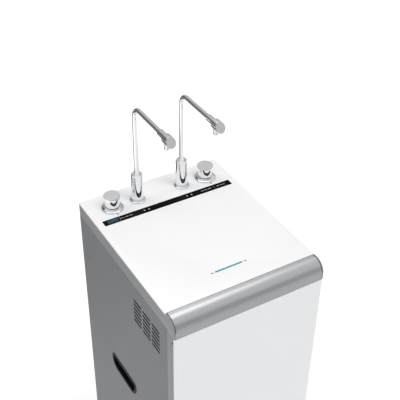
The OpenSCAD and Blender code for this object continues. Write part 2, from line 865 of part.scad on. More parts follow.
// Head of a spout with its sleeve, bored for the tube and the nozzle
module spout_head(side) {
    s0 = arm_len - disc_t - head_l - sleeve_l;
    reach = head_l + disc_reach;
    color("#c8cacc") translate([side * tap_x, tap_y, top_z]) difference() {
        on_arm(s0) rotate_extrude() {
            drum_half(sleeve_r, sleeve_l + soft_edge, soft_edge, fine_edge);
            translate([0, sleeve_l]) drum_half(head_r, reach, soft_edge, fine_edge);
        }
        past_face(arm_len - disc_t);
        on_arm(s0 - over) cylinder(r = tube_r + run_gap, h = sleeve_l + over);
        on_arm(s0) cylinder(r = bore_r, h = sleeve_l + reach + over);
        on_arm(arm_len - nozzle_back) rotate([90, 0, 0])
            cylinder(r = nozzle_r + run_gap, h = head_r + over);
    }
}

// Satin disc on the end of a spout's head, with the plug behind it
module spout_cap(side) {
    s0 = arm_len - disc_t - disc_reach;
    color("#bcbdbf") translate([side * tap_x, tap_y, top_z]) difference() {
        on_arm(s0) cylinder(r = head_r, h = disc_t + 2 * disc_reach);
        past_face(arm_len);
        difference() {
            on_arm(s0 - over) cylinder(r = 2 * head_r, h = disc_t + 2 * disc_reach + over);
            past_face(arm_len - disc_t);
            on_arm(s0) cylinder(r = bore_r - run_gap, h = disc_t + 2 * disc_reach);
        }
    }
}

// Nozzle under a spout's head
module nozzle(side) {
    inside = bore_r + small_edge;
    lip_h = 2;
    lip_out = 0.6;
    color("#e3e4e6") translate([side * tap_x, tap_y, top_z]) on_arm(arm_len - nozzle_back)
        rotate([90, 0, 0]) translate([0, 0, inside]) {
            pipe(nozzle_r, nozzle_r - nozzle_wall, nozzle_drop - inside);
            translate([0, 0, nozzle_drop - inside - lip_h])
                pipe(nozzle_r + lip_out, nozzle_r - nozzle_wall, lip_h);
        }
}

// Turning knob, bored for the valve's stem
module knob(side) {
    color("#d9dbdd") translate([side * knob_x, tap_y, top_z + knob_z]) difference() {
        cylinder(r1 = knob_foot_r, r2 = knob_r, h = knob_h);
        translate([0, 0, -over]) cylinder(r = stem_r + run_gap, h = stem_in + part_gap + over);
    }
}

// Satin disc on a knob
module knob_disc(side) {
    color("#b9babc") translate([side * knob_x, tap_y, top_z + knob_top])
        rotate_extrude() drum_half(knob_disc_r, knob_disc_t, fine_edge, small_edge);
}

// Fixed rings under the knobs, swept up in a hollow curve
module knob_rings() {
    color("#d9dbdd") for (i = [-1, 1]) translate([i * knob_x, tap_y, top_z]) difference() {
        rotate_extrude() intersection() {
            flared_half(ring_r, ring_edge, ring_rim_r, ring_h);
            square([ring_r, ring_h]);
        }
        translate([0, 0, -over]) cylinder(r = neck_r, h = ring_h + 2 * over);
    }
}

// Valves under the deck: neck, drum, lower outlet and side inlet
module valve_bodies() {
    color("#c9a24a") for (i = [-1, 1]) translate([i * knob_x, tap_y, 0]) difference() {
        union() {
            translate([0, 0, deck_low]) cylinder(r = neck_r, h = deck_t + panel_t);
            translate([0, 0, deck_low - valve_h]) cylinder(r = valve_r, h = valve_h);
            translate([0, 0, deck_low - valve_h - nipple_l]) cylinder(r = nipple_r, h = nipple_l);
            translate([0, 0, elbow_z]) rotate([0, i * 90, 0]) cylinder(r = elbow_r, h = elbow_out);
            translate([i * elbow_out, 0, elbow_low])
                cylinder(r = inlet_r, h = 2 * inlet_r);
            translate([i * elbow_out, 0, elbow_low - nipple_l])
                cylinder(r = nipple_r, h = nipple_l + over);
        }
        translate([0, 0, top_z + stem_low - part_gap])
            cylinder(r = stem_r + run_gap, h = -stem_low + part_gap + over);
    }
}

// Stem that joins a knob to its valve
module valve_stem(side) {
    color("#d0b060") translate([side * knob_x, tap_y, top_z + stem_low])
        cylinder(r = stem_r, h = stem_top - stem_low);
}

// Hoses: tanks up to the valves, and a loop from each valve to its tap
module inner_hoses() {
    hose_in = nipple_r + run_gap;
    color("#e9edf0") for (i = [-1, 1]) translate([0, tap_y, 0]) {
        difference() {
            hose_loop(i, hose_r, 0);
            hose_loop(i, hose_in, over);
        }
        tank_top = shelf_z + (i < 0 ? cold_h : hot_h);
        translate([i * (knob_x + elbow_out), 0, tank_top])
            pipe(hose_r, hose_in, elbow_low - tank_top);
    }
}

// Half loop of hose with two upright legs, as a solid rod drawn past its ends
module hose_loop(side, r, past) {
    translate([side * tap_x, 0, loop_z]) cylinder(r = r, h = tap_end - loop_z + past);
    translate([side * knob_x, 0, loop_z]) cylinder(r = r, h = valve_end - loop_z + past);
    translate([side * (tap_x + loop_r), 0, loop_z]) rotate([-90, 0, 0])
        rotate_extrude(angle = 180) translate([loop_r, 0]) circle(r);
}

// Door seen from above, its rear right corner rounded about the hinge
module door_plan() {
    difference() {
        translate([-side_x, front_y + door_skin]) square([body_w, door_t - door_skin]);
        difference() {
            translate([hinge_x, hinge_y]) square(hinge_r);
            translate([hinge_x, hinge_y]) circle(hinge_r);
        }
    }
}

// Moulded door frame, open and ribbed behind
module door_frame() {
    door_h = door_z1 - door_z0;
    y0 = front_y + door_skin + wall_t;
    deep = door_t + over;
    x0 = -side_x + magnet_w + 3 * wall_t;
    x1 = side_x - 2 * hinge_r;
    hollow = hinge_r - wall_t;
    end_h = 2 * pin_in;
    cell_h = (door_h - wall_t) / (door_ribs + 1);
    color("#8f9092") difference() {
        translate([0, 0, door_z0]) linear_extrude(door_h) door_plan();
        for (i = [0:door_ribs])
            translate([x0, y0, door_z0 + wall_t + i * cell_h])
                cube([x1 - x0, deep, cell_h - wall_t]);
        translate([hinge_x - hollow, y0, door_z0 + end_h])
            cube([hollow, deep, door_h - 2 * end_h]);
        translate([hinge_x, hinge_y, door_z0 - over])
            cylinder(r = pin_r + run_gap, h = pin_in + part_gap + over);
        translate([hinge_x, hinge_y, door_z1 - pin_in - part_gap])
            cylinder(r = pin_r + run_gap, h = pin_in + part_gap + over);
        magnet_block(part_gap / 2, over);
    }
}

// Block of the door magnet, grown by a gap and drawn out behind for its pocket
module magnet_block(gap, behind) {
    mid_z = (door_z0 + door_z1) / 2;
    translate([-side_x + wall_t - gap, front_y + door_t + door_gap - part_gap - magnet_t,
            mid_z - magnet_h / 2 - gap])
        cube([magnet_w + 2 * gap, magnet_t + behind, magnet_h + 2 * gap]);
}

// White front panel of the door
module door_panel() {
    color("#e6e6e7") translate([0, 0, door_z0]) linear_extrude(door_z1 - door_z0)
        translate([0, front_y]) {
            translate([-side_x + door_edge, 0]) square([body_w - 2 * door_edge, door_skin]);
            translate([-side_x, door_edge]) square([body_w, door_skin - door_edge]);
            for (x = [-side_x + door_edge, side_x - door_edge])
                translate([x, door_edge]) intersection() {
                    circle(door_edge);
                    translate([-door_edge, -door_edge]) square([2 * door_edge, door_edge]);
                }
        }
}

// Pins at the top and bottom of the door
module hinge_pins() {
    pin_l = pin_in + door_gap + pin_seat;
    color("#9a9c9f") for (z = [base_z - pin_seat, door_z1 - pin_in])
        translate([hinge_x, hinge_y, z]) cylinder(r = pin_r, h = pin_l);
}

// Magnet that holds the door against the steel return
module door_magnet() {
    color("#3a3a3c") magnet_block(0, 0);
}

// Heads of the three sediment and carbon filters
module prefilter_heads() {
    port_r = 9;
    port_out = 3;
    color("#24579a") for (i = [-1:1])
        translate([i * filter_dx, filter_y, bracket_z - filter_head_h]) {
            rotate_extrude() drum_half(filter_head_r, filter_head_h, big_edge, big_edge);
            translate([0, -filter_head_r - port_out, filter_head_h / 2]) rotate([-90, 0, 0])
                cylinder(r = port_r, h = filter_head_r);
        }
}

// Bowls of the three filters, with a rounded bottom
module prefilter_bowls() {
    rib_n = 12;
    rib_w = 3;
    rib_out = 1.5;
    rib_l = bowl_l / 2 - 2 * big_edge;
    color("#eef1f4") for (i = [-1:1])
        translate([i * filter_dx, filter_y, bracket_z - filter_head_h - bowl_l]) {
            rotate_extrude() drum_half(bowl_r, bowl_l, bowl_r / 2, small_edge);
            for (i = [0:rib_n - 1]) rotate(i * 360 / rib_n)
                translate([bowl_r - over, -rib_w / 2, bowl_l / 2]) cube([rib_out + over, rib_w, rib_l]);
        }
}

// Folded bracket that the filter heads hang from
module filter_bracket() {
    w = 2 * filter_dx + 2 * filter_head_r;
    reach = filter_off + 2 * filter_head_r;
    color("#c8cacc") {
        translate([-w / 2, wall_y - reach, bracket_z]) cube([w, reach, bracket_t]);
        translate([-w / 2, wall_y - bracket_t, bracket_z]) cube([w, bracket_t, bracket_h]);
    }
}

// Membrane housing lying across the bay, with its screw cap and ports
module membrane_housing() {
    cap_l = 34;
    color("#f2f3f4") translate([0, wall_y - cart_off - membrane_r, membrane_z])
        rotate([0, 90, 0]) translate([0, 0, -membrane_l / 2]) {
            rotate_extrude() {
                drum_half(barrel_r, membrane_l, tank_edge, tank_edge);
                translate([0, membrane_l - cap_l])
                    drum_half(membrane_r, cap_l, soft_edge, big_edge);
            }
            translate([0, 0, -nipple_l]) cylinder(r = nipple_r, h = nipple_l + over);
        }
}

// Fine filter cartridges with stepped ends
module fine_filters() {
    end_l = 16;
    color("#f2f3f4") for (i = [0:fine_n - 1])
        translate([-fine_l / 2, wall_y - cart_off - fine_r, fine_z0 + i * fine_dz])
            rotate([0, 90, 0]) rotate_extrude() {
                translate([0, end_l]) drum_half(fine_r, fine_l - 2 * end_l, big_edge, big_edge);
                drum_half(fine_r / 2, fine_l, soft_edge, soft_edge);
            }
}

// Open clip round a cartridge, with a stem that reaches the wall behind
module clip(r, reach) {
    foot_w = 4 * clip_t;
    rotate([0, 90, 0]) linear_extrude(clip_w, center = true) {
        difference() {
            circle(r + clip_t);
            circle(r + part_gap);
            translate([-r / 2, -r - 2 * clip_t]) square([r, r]);
        }
        difference() {
            translate([-foot_w / 2, 0]) square([foot_w, reach]);
            circle(r + clip_t / 2);
        }
    }
}

// Clips that hold the membrane housing and the fine filters
module cartridge_clips() {
    color("#dfe2e4") {
        for (x = [-membrane_l / 4, membrane_l / 4])
            translate([x, wall_y - cart_off - membrane_r, membrane_z])
                clip(barrel_r, membrane_r + cart_off);
        for (i = [0:fine_n - 1], x = [-fine_l / 4, fine_l / 4])
            translate([x, wall_y - cart_off - fine_r, fine_z0 + i * fine_dz])
                clip(fine_r, fine_r + cart_off);
    }
}

// Booster pump: motor, square head and the plate on the wall
module booster_pump() {
    total = motor_l + pump_l;
    color("#55585c") translate([-total / 2, pump_y, pump_z]) {
        rotate([0, 90, 0]) rotate_extrude() drum_half(motor_r, motor_l + over, big_edge, small_edge);
        translate([motor_l, 0, 0]) rotate([90, 0, 90]) linear_extrude(pump_l)
            round_rect(pump_s, pump_s, 2 * big_edge);
        translate([0, pump_s / 2, -pump_s / 4]) cube([total, cart_off, pump_s / 2]);
        translate([motor_l, motor_r / 2, -pump_s / 4])
            cube([pump_l, pump_s / 2 - motor_r / 2 + cart_off, pump_s / 2]);
        translate([motor_l / 4, 0, -pump_s / 4]) cube([motor_l / 2, pump_s / 2 + over, pump_s / 2]);
    }
}

// Outlet nipple on top of a tank, under its valve's inlet
module tank_nipple(side, top) {
    translate([side * (knob_x + elbow_out), tap_y, top - over])
        cylinder(r = nipple_r, h = nipple_l + over);
}

// Cold tank in its foam jacket
module cold_tank() {
    lid_h = 16;
    color("#e8e6df") {
        translate([cold_x, cold_y, shelf_z]) rotate_extrude() {
            drum_half(cold_r, cold_h - lid_h, tank_edge, soft_edge);
            drum_half(cold_r - wall_t, cold_h, tank_edge, soft_edge);
        }
        tank_nipple(-1, shelf_z + cold_h);
    }
}

// Steel hot tank with its heater flange and clamp band, hollow inside
module hot_tank() {
    flange_out = 12;
    heater_r = 26;
    band_h = 22;
    band_t = 2;
    shell = 4;
    color("#c4c7ca") {
        translate([hot_x, hot_y, shelf_z]) difference() {
            union() {
                rotate_extrude() {
                    drum_half(hot_r - band_t, hot_h, tank_edge, tank_edge);
                    translate([0, hot_h / 2 - band_h / 2])
                        drum_half(hot_r, band_h, small_edge, small_edge);
                }
                translate([0, 0, hot_h / 4]) rotate([90, 0, 0])
                    cylinder(r = heater_r, h = hot_r + flange_out);
            }
            translate([0, 0, shell]) rotate_extrude()
                drum_half(hot_r - band_t - shell, hot_h - 2 * shell, big_edge, big_edge);
        }
        tank_nipple(1, shelf_z + hot_h);
    }
}

// Storage tank standing on the floor of the base
module storage_tank() {
    stand_h = 24;
    stand_t = store_r / 5;
    dome = 0.7 * store_r;
    color("#e4e7ea") translate([store_x, low_y, floor_z]) rotate_extrude() {
        translate([0, stand_h / 2]) drum_half(store_r, store_h, dome, dome);
        translate([store_r / 2, 0]) square([stand_t, 2 * stand_h]);
    }
}

// Compressor's hollow shell on its mounting plate, with the terminal cover
module compressor() {
    plate_edge = 10;
    shell = 12;
    dome = comp_r / 2;
    color("#2b2c2f") translate([comp_x, low_y, comp_z - wall_t]) difference() {
        union() {
            linear_extrude(wall_t) round_rect(plate_w, plate_w, plate_edge);
            rotate_extrude() drum_half(comp_r, comp_h + wall_t, big_edge, dome);
            translate([-comp_r - tab_t / 4, -tab_w / 2, comp_h / 3]) cube([tab_t, tab_w, tab_h]);
        }
        translate([0, 0, shell]) rotate_extrude()
            drum_half(comp_r - shell, comp_h + wall_t - 2 * shell, big_edge, dome - shell);
    }
}

// Rubber mounts under the compressor's plate
module compressor_mounts() {
    mount_r = 9;
    out = plate_w / 2 - 1.5 * mount_r;
    color("#191919") for (i = [-1, 1], j = [-1, 1])
        translate([comp_x + i * out, low_y + j * out, floor_z])
            rotate_extrude() drum_half(mount_r, mount_h, small_edge, small_edge);
}

// Power supply on the back of the service wall
module power_supply() {
    fins = 7;
    fin_out = 4;
    pitch = supply_h / fins;
    fin_t = 0.4 * pitch;
    color("#7b7e82") translate([comp_x - supply_w / 2, wall_y + sheet_t, shelf_z - 2 * supply_h]) {
        cube([supply_w, supply_d, supply_h]);
        for (i = [0:fins - 1]) translate([fin_out, 0, i * pitch + (pitch - fin_t) / 2])
            cube([supply_w - 2 * fin_out, supply_d + fin_out, fin_t]);
    }
}

// Rear condenser: one tube bent to and fro, wires on both sides, and its brackets
module condenser() {
    strap_w = 6;
    strap_t = 2;
    strap_h = 12;
    strap_x = (wire_n / 2 - 2) * wire_dx;
    color("#17181a") {
        translate([0, cond_y, cond_z]) {
            for (r = [0:cond_rows - 1]) translate([-cond_w / 2, 0, r * cond_dz])
                rotate([0, 90, 0]) cylinder(r = cond_r, h = cond_w);
            for (r = [0:cond_rows - 2]) {
                end = r % 2 == 0 ? 1 : -1;
                translate([end * cond_w / 2, 0, (r + 0.5) * cond_dz]) rotate([90, 0, 0])
                    rotate(end > 0 ? -90 : 90) rotate_extrude(angle = 180)
                        translate([cond_dz / 2, 0]) circle(cond_r);
            }
            for (i = [0:wire_n - 1], j = [-1, 1])
                translate([(i - (wire_n - 1) / 2) * wire_dx, j * wire_off, -cond_dz / 3])
                    cylinder(r = wire_r, h = cond_h + cond_dz * 2 / 3, $fn = 24);
        }
        for (i = [-1, 1], r = [1, cond_rows - 2])
            translate([i * strap_x - strap_w / 2, rear_y, cond_z + r * cond_dz - cond_r - part_gap]) {
                translate([0, 0, -strap_t]) cube([strap_w, cond_stand + cond_r, strap_t]);
                translate([0, 0, -strap_h]) cube([strap_w, strap_t, strap_h]);
            }
    }
}

// Push-in fittings for the water supply and the drain
module tube_fittings() {
    out_l = 16;
    in_l = 18;
    end_t = 2;
    color("#e6e8ea") for (x = fitting_x)
        translate([x, rear_y, fitting_z]) rotate([-90, 0, 0]) difference() {
            union() {
                cylinder(r = flange_r, h = fitting_wall);
                translate([0, 0, -in_l]) cylinder(r = fitting_r, h = in_l + out_l);
            }
            translate([0, 0, end_t - in_l]) cylinder(r = water_r, h = in_l + out_l);
        }
}

// Bush that the mains lead passes through
module cord_gland() {
    lip = 3;
    lip_h = 5;
    tail = 6;
    color("#161617") translate([gland_x, rear_y, fitting_z]) rotate([-90, 0, 0]) difference() {
        union() {
            rotate_extrude() drum_half(gland_r + lip, lip_h, fine_edge, soft_edge);
            translate([0, 0, -tail]) cylinder(r = gland_r, h = tail + over);
        }
        translate([0, 0, -tail - over]) cylinder(r = cord_r, h = tail + lip_h + 2 * over);
    }
}

// Housings of the heating and cooling switches
module switch_housings() {
    rim = 2;
    w = switch_w + wall_t;
    h = switch_h + wall_t;
    color("#1d1e20") for (x = switch_x) translate([x, rear_y, switch_z]) difference() {
        union() {
            along_y(-switch_deep, rim) square([w, h], center = true);
            along_y(0, rim) round_rect(w + 2 * switch_rim, h + 2 * switch_rim, soft_edge);
        }
        along_y(-switch_deep + rim, rim + over) square([switch_w, switch_h], center = true);
        rotate([0, 90, 0]) cylinder(r = pivot_r + run_gap, h = w - wall_t / 2, center = true);
    }
}

// Rocker with its pivots, tilted to its first position
module rocker(x) {
    half = rocker_h / 2;
    back_half = 0.6 * half;
    back = -4;
    side_out = 2;
    edge_out = 5;
    mid_out = 3.4;
    color("#2a2b2d") translate([x, rear_y, switch_z]) rotate([-rocker_tilt, 0, 0]) {
        along_x(-rocker_w / 2, rocker_w / 2)
            polygon([[back, -back_half], [back, back_half], [side_out, half], [edge_out, half],
                [mid_out, 0], [edge_out, -half], [side_out, -half]]);
        rotate([0, 90, 0]) cylinder(r = pivot_r, h = switch_w + wall_t / 2 - part_gap, center = true);
    }
}

base_pan();
feet();
side_panel(-1);  // side_panel_left
side_panel(1);  // side_panel_right
handle_cup(-1);  // handle_cup_left
handle_cup(1);  // handle_cup_right
rear_panel();
service_wall();
tank_shelf();
top_cover();
top_panel();
nose_trim();
control_strip();
led_bar();
control_board();
tap_body(-1);  // tap_body_left
tap_body(1);  // tap_body_right
tap_nuts();
spout_seals();
spout_tube(-1);  // spout_tube_left
spout_tube(1);  // spout_tube_right
spout_head(-1);  // spout_head_left
spout_head(1);  // spout_head_right
spout_cap(-1);  // spout_cap_left
spout_cap(1);  // spout_cap_right
nozzle(-1);  // nozzle_left
nozzle(1);  // nozzle_right
knob(-1);  // knob_left
knob(1);  // knob_right
knob_disc(-1);  // knob_disc_left
knob_disc(1);  // knob_disc_right
knob_rings();
valve_bodies();
valve_stem(-1);  // valve_stem_left
valve_stem(1);  // valve_stem_right
inner_hoses();
door_frame();
door_panel();
hinge_pins();
door_magnet();
prefilter_heads();
prefilter_bowls();
filter_bracket();
membrane_housing();
fine_filters();
cartridge_clips();
booster_pump();
cold_tank();
hot_tank();
storage_tank();
compressor();
compressor_mounts();
power_supply();
condenser();
tube_fittings();
cord_gland();
switch_housings();
rocker(switch_x[0]);  // rocker_hot
rocker(switch_x[1]);  // rocker_cold
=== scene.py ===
"""Looks of a free-standing hot and cold water purifier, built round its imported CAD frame."""

import math

import bmesh
import bpy
from bpy.props import FloatProperty, FloatVectorProperty, PointerProperty
from bpy.types import Operator, Panel, PropertyGroup
from mathutils import Matrix, Vector


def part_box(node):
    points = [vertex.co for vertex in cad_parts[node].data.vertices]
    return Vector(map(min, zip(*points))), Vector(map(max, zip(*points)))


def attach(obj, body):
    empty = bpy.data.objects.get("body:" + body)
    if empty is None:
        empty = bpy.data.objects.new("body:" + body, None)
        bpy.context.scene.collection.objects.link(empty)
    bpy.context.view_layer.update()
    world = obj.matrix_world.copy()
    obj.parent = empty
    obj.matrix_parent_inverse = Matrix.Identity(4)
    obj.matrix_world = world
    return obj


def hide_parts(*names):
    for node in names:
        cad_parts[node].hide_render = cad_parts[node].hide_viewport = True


bl_info = {
    "name": "Water purifier looks",
    "version": (1, 0, 0),
    "blender": (4, 5, 0),
    "location": "View3D > Sidebar > Purifier",
    "description": "Finishes, printed marks, fasteners and studio for a water purifier",
    "category": "Object",
}

MM = 0.001

# Slots of the side vents: length, height, places along the depth, top row, pitch and rows
SLOT_L, SLOT_H = 31 * MM, 3.4 * MM
SLOT_Y = (-150.0 * MM, -111.5 * MM, -73.0 * MM)
SLOT_TOP, SLOT_PITCH, SLOT_ROWS = 924.5 * MM, 10.7 * MM, 6
# Corners of the vented area, as depth and height, the sheet it is cut in and the pad behind it
VENT_LOW, VENT_HIGH = (-168 * MM, 866 * MM), (-55 * MM, 929 * MM)
SHEET_T, SCREEN_T = 1.25 * MM, 2.0 * MM
# Share of the sheet, to either side of its middle, that is painted near black as the shade on a
# slot's cut edge
WALL_SHADE_SHARE = 0.42

# Bars on the control strip, as middle and length in millimetres, then dots and lines across it
STRIP_BARS = ((-112.0, 9.0), (-101.5, 8.0), (-91.5, 8.0), (83.0, 7.0), (91.5, 7.0),
              (101.5, 9.0), (123.5, 7.0), (132.0, 6.0), (138.5, 4.0))
STRIP_DOTS = (-60.0, -49.0, 45.0, 56.0)
STRIP_DIVIDERS = (-118.0, 113.5)
# Middle of the display window, and its lines as middle, length and shift to the rear
WINDOW_X = -134.0
WINDOW_LINES = ((-141.0, 5.0, -1.5), (-134.5, 4.0, 0.5), (-127.5, 6.0, 1.5))
# Shares of the strip's depth that a line across it and the window take
DIVIDER_SHARE, WINDOW_SHARE = 0.55, 0.72
# Widths of a bar, a line across and a window's line, radius of a dot, and the window's length
BAR_W, DIVIDER_W, LINE_W, DOT_R, WINDOW_L = 1.5 * MM, 0.6 * MM, 1.6 * MM, 1.8 * MM, 25.0 * MM
# Width and length of the line on a rocker, and radius of its dot
SWITCH_W, SWITCH_L, SWITCH_R = 1.0 * MM, 4.0 * MM, 2.2 * MM

# Screws of the rear panel: distance from its sides, and rows as shares of its height
REAR_INSET, REAR_ROWS = 9 * MM, (0.02, 0.27, 0.5, 0.73, 0.98)
# Screws of a side panel: distance from its rear, lower and upper edges
SIDE_INSET, SIDE_LOW, SIDE_HIGH = 40 * MM, 40 * MM, 91 * MM
# Screws of the filter bracket: places, distance from its top, and the sheet that they hold
BRACKET_X = (-120 * MM, -40 * MM, 40 * MM, 120 * MM)
BRACKET_DROP, BRACKET_T = 12 * MM, 2 * MM

# Share of its gap that each seal and the dark strip in the trim's seam fill, so that they stay clear
# of the other side; the strip paints the seam's shade
RING_FILL, STRIP_FILL, SEAM_FILL = 0.97, 0.95, 0.96
# How far the dark strip that paints the seam's shade lies below the top, and the dark end strips that
# paint the shade at the trim's ends stand over the trim
SEAM_DROP, END_SWELL = 0.2 * MM, 0.12 * MM
# Height of the door's stop, its distance from the door's top, and its taper
STOP_H, STOP_DROP, STOP_TAPER = 0.8 * MM, 12 * MM, 0.8
# How far a vent's frame stands off the panel
VENT_RIM_T = 0.25 * MM
# Length and narrowing of an elbow's mouth, as shares of its arm and its radius
MOUTH_SHARE, MOUTH_TAPER = 1.3, 0.85
# Blend of a knob's chamfer into its wall, as a share of the chamfer
KNOB_BLEND = 0.4
# Bevel that turns an end into a half round, as a share of its width
HALF_ROUND = 0.49
# Height over the top panel at which the painted shade at the chrome's foot starts to fade, and is
# gone
FOOT_SHADE = (6 * MM, 10 * MM)
# Distance at which points merge, and angles of a flat, a rounded and a sharply shaded edge
MERGE = 0.002 * MM
FLAT, SHARP, CREASE = math.radians(0.2), math.radians(40), math.radians(35)
# Sides of a small round piece, and of a knob
ROUND_SIDES, KNOB_SIDES = 24, 96

# A noise's values lie mostly in this middle span
NOISE_SPAN = {"From Min": 0.3, "From Max": 0.7}
# Sockets of a node that mixes colours: its share, its two colours and its result
SHARE, FIRST, SECOND, MIXED = 0, 6, 7, 2

# Moulded or coated finishes: name, colour, roughness, grain and depth in millimetres, CAD nodes
MOULDED = (
    # A waxy dark grey
    ("dark_grey_polypropylene", "#5D5F62", 0.5, 1.1, 0.02, ("base_pan",)),
    # Dull and almost black
    ("black_rubber", "#1C1C1E", 0.75, 1.2, 0.03, ("feet", "spout_seals", "compressor_mounts")),
    # Green under a glossy mask
    ("green_epoxy_board", "#2A6642", 0.4, 3.0, 0.02, ("control_board",)),
    # Smooth and waxy, in blue and in white
    ("blue_polypropylene", "#23579A", 0.3, 1.0, 0.01, ("prefilter_heads",)),
    ("white_polypropylene", "#EDEFF1", 0.32, 1.0, 0.008,
     ("prefilter_bowls", "cartridge_clips", "tube_fittings")),
    # Milky and glossy
    ("clear_polythene_hose", "#E8ECEF", 0.25, 2.0, 0.01, ("inner_hoses",)),
    # A smooth mid grey
    ("coated_steel", "#5A5D61", 0.42, 1.2, 0.02, ("booster_pump",)),
    # A cream, open-pored jacket
    ("moulded_foam", "#E4E1D8", 0.85, 2.4, 0.12, ("cold_tank",)),
    # Pale and glossy
    ("painted_steel", "#DFE3E6", 0.3, 2.0, 0.01, ("storage_tank",)),
    # Hard, smooth and almost black
    ("black_stove_enamel", "#1B1C1E", 0.35, 1.4, 0.01, ("compressor", "condenser")),
)
# Machined, cast or plated metals: name, colour, roughness and CAD nodes
MACHINED = (
    # A dark grey sinter
    ("ferrite_magnet", "#3A3A3C", 0.5, ("door_magnet",)),
    # Pale and softly bright
    ("satin_nickel", "#E2E3E4", 0.3, ("nozzle_left", "nozzle_right")),
    # Warm yellow with tool marks
    ("machined_brass", "#C9A24A", 0.35,
     ("tap_nuts", "valve_bodies", "valve_stem_left", "valve_stem_right")),
    # A dull grey
    ("cast_aluminium_case", "#8B8E92", 0.5, ("power_supply",)),
)

# Suns, with their tilt in degrees, and how wide they look
SUNS = (("key", (28, 16, 0)), ("rim", (-32, -32, 0)))
SUN_ANGLE = math.radians(30)
# Softbox's place, target and size, and half the floor's side, in metres
SOFTBOX_AT, SOFTBOX_AIM, SOFTBOX_SIZE = (-1.9, 0.9, 1.25), (0, -0.1, 0.9), 1.2
FLOOR_REACH = 8.0
# Name, centre in metres, width, height, tilt about X in degrees, and level of each studio card
CARDS = (
    ("dark_card_rear", (-1.5, 2.4, 1.3), 4.2, 4.4, 90, 0.15),
    ("grey_card_rear", (2.1, 2.6, 1.7), 4.4, 5.2, 90, 0.5),
    ("grey_card_high", (0.2, 2.5, 3.6), 4.0, 3.0, 90, 0.54),
    ("dark_card_floor", (-0.4, 1.5, 0.02), 3.6, 1.8, 0, 0.08),
    ("grey_card_front", (1.0, -2.6, 1.4), 5.0, 2.8, 90, 0.57),
    ("grey_card_floor", (0.9, -2.0, 0.03), 5.0, 3.4, 0, 0.84),
    ("bright_card_above", (0.15, 0.55, 2.6), 1.9, 1.9, 0, 2.75),
)
# Distance from a card's middle, as a share of its size, at which it starts to fade, and is gone
CARD_FADE = (0.3, 0.5)


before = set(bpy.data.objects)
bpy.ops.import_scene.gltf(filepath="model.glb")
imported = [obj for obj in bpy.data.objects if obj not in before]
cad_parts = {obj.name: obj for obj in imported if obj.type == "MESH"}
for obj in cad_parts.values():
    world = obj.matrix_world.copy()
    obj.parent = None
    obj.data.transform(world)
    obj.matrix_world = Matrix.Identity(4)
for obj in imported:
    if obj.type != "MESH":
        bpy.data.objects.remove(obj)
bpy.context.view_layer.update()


def linear(hex_colour):
    """Turns an sRGB hex colour into linear red, green and blue."""
    channels = [int(hex_colour[i:i + 2], 16) / 255 for i in (1, 3, 5)]
    return tuple(c / 12.92 if c <= 0.04045 else ((c + 0.055) / 1.055) ** 2.4 for c in channels)


def colour(name, hex_colour, description):
    """A colour that a user may change."""
    return FloatVectorProperty(
        name=name, description=description, subtype="COLOR", size=3, min=0.0, max=1.0,
        default=linear(hex_colour))


def length(name, millimetres, description):
    """A size that a user may change, written in millimetres and kept in metres."""
    return FloatProperty(
        name=name, description=description, unit="LENGTH", min=0.0, precision=5,
        default=millimetres * MM)


def level(name, value, description):
    """A strength of light that a user may change."""
    return FloatProperty(name=name, description=description, min=0.0, default=value)


def angle(name, degrees, description):
    """A turn of the camera that a user may change."""
    return FloatProperty(
        name=name, description=description, subtype="ANGLE", default=math.radians(degrees))


class FinishSettings(PropertyGroup):
    """Colours of the surfaces that show."""

    top: colour("Top", "#F8F8F9", "White ABS of the top panel")
    # The door's white is set darker than the top's, which paints part of the front's shade
    door: colour("Door", "#EEEFF0", "White ABS of the door's front")
    cover: colour("Cover", "#8F9092", "Light grey ABS of the top cover and the door frame")
    side: colour("Side", "#7A7B7D", "Grey powder coat of the steel panels")
    trim: colour("Front trim", "#B2B3B5", "Satin anodised aluminium of the front trim")
    knob: colour("Knob discs", "#D4D5D6", "Satin discs on the knobs")
    disc: colour("Spout discs", "#D0D1D2", "Satin discs on the spouts")
    chrome: colour("Chrome", "#F0F1F2", "Bright chrome of the taps and knobs")
    strip: colour("Strip", "#040506", "Black glass of the control strip")
    light: colour("Light bar", "#2B99A2", "Lit acrylic of the light bar")
    mark: colour("Marks", "#B4B7BA", "Pale print on the control strip and the rockers")
    dash: colour("Dashes", "#3E4043", "Dark print beside the light bar")
    tick: colour("Ticks", "#707276", "Grey print in front of the knobs")


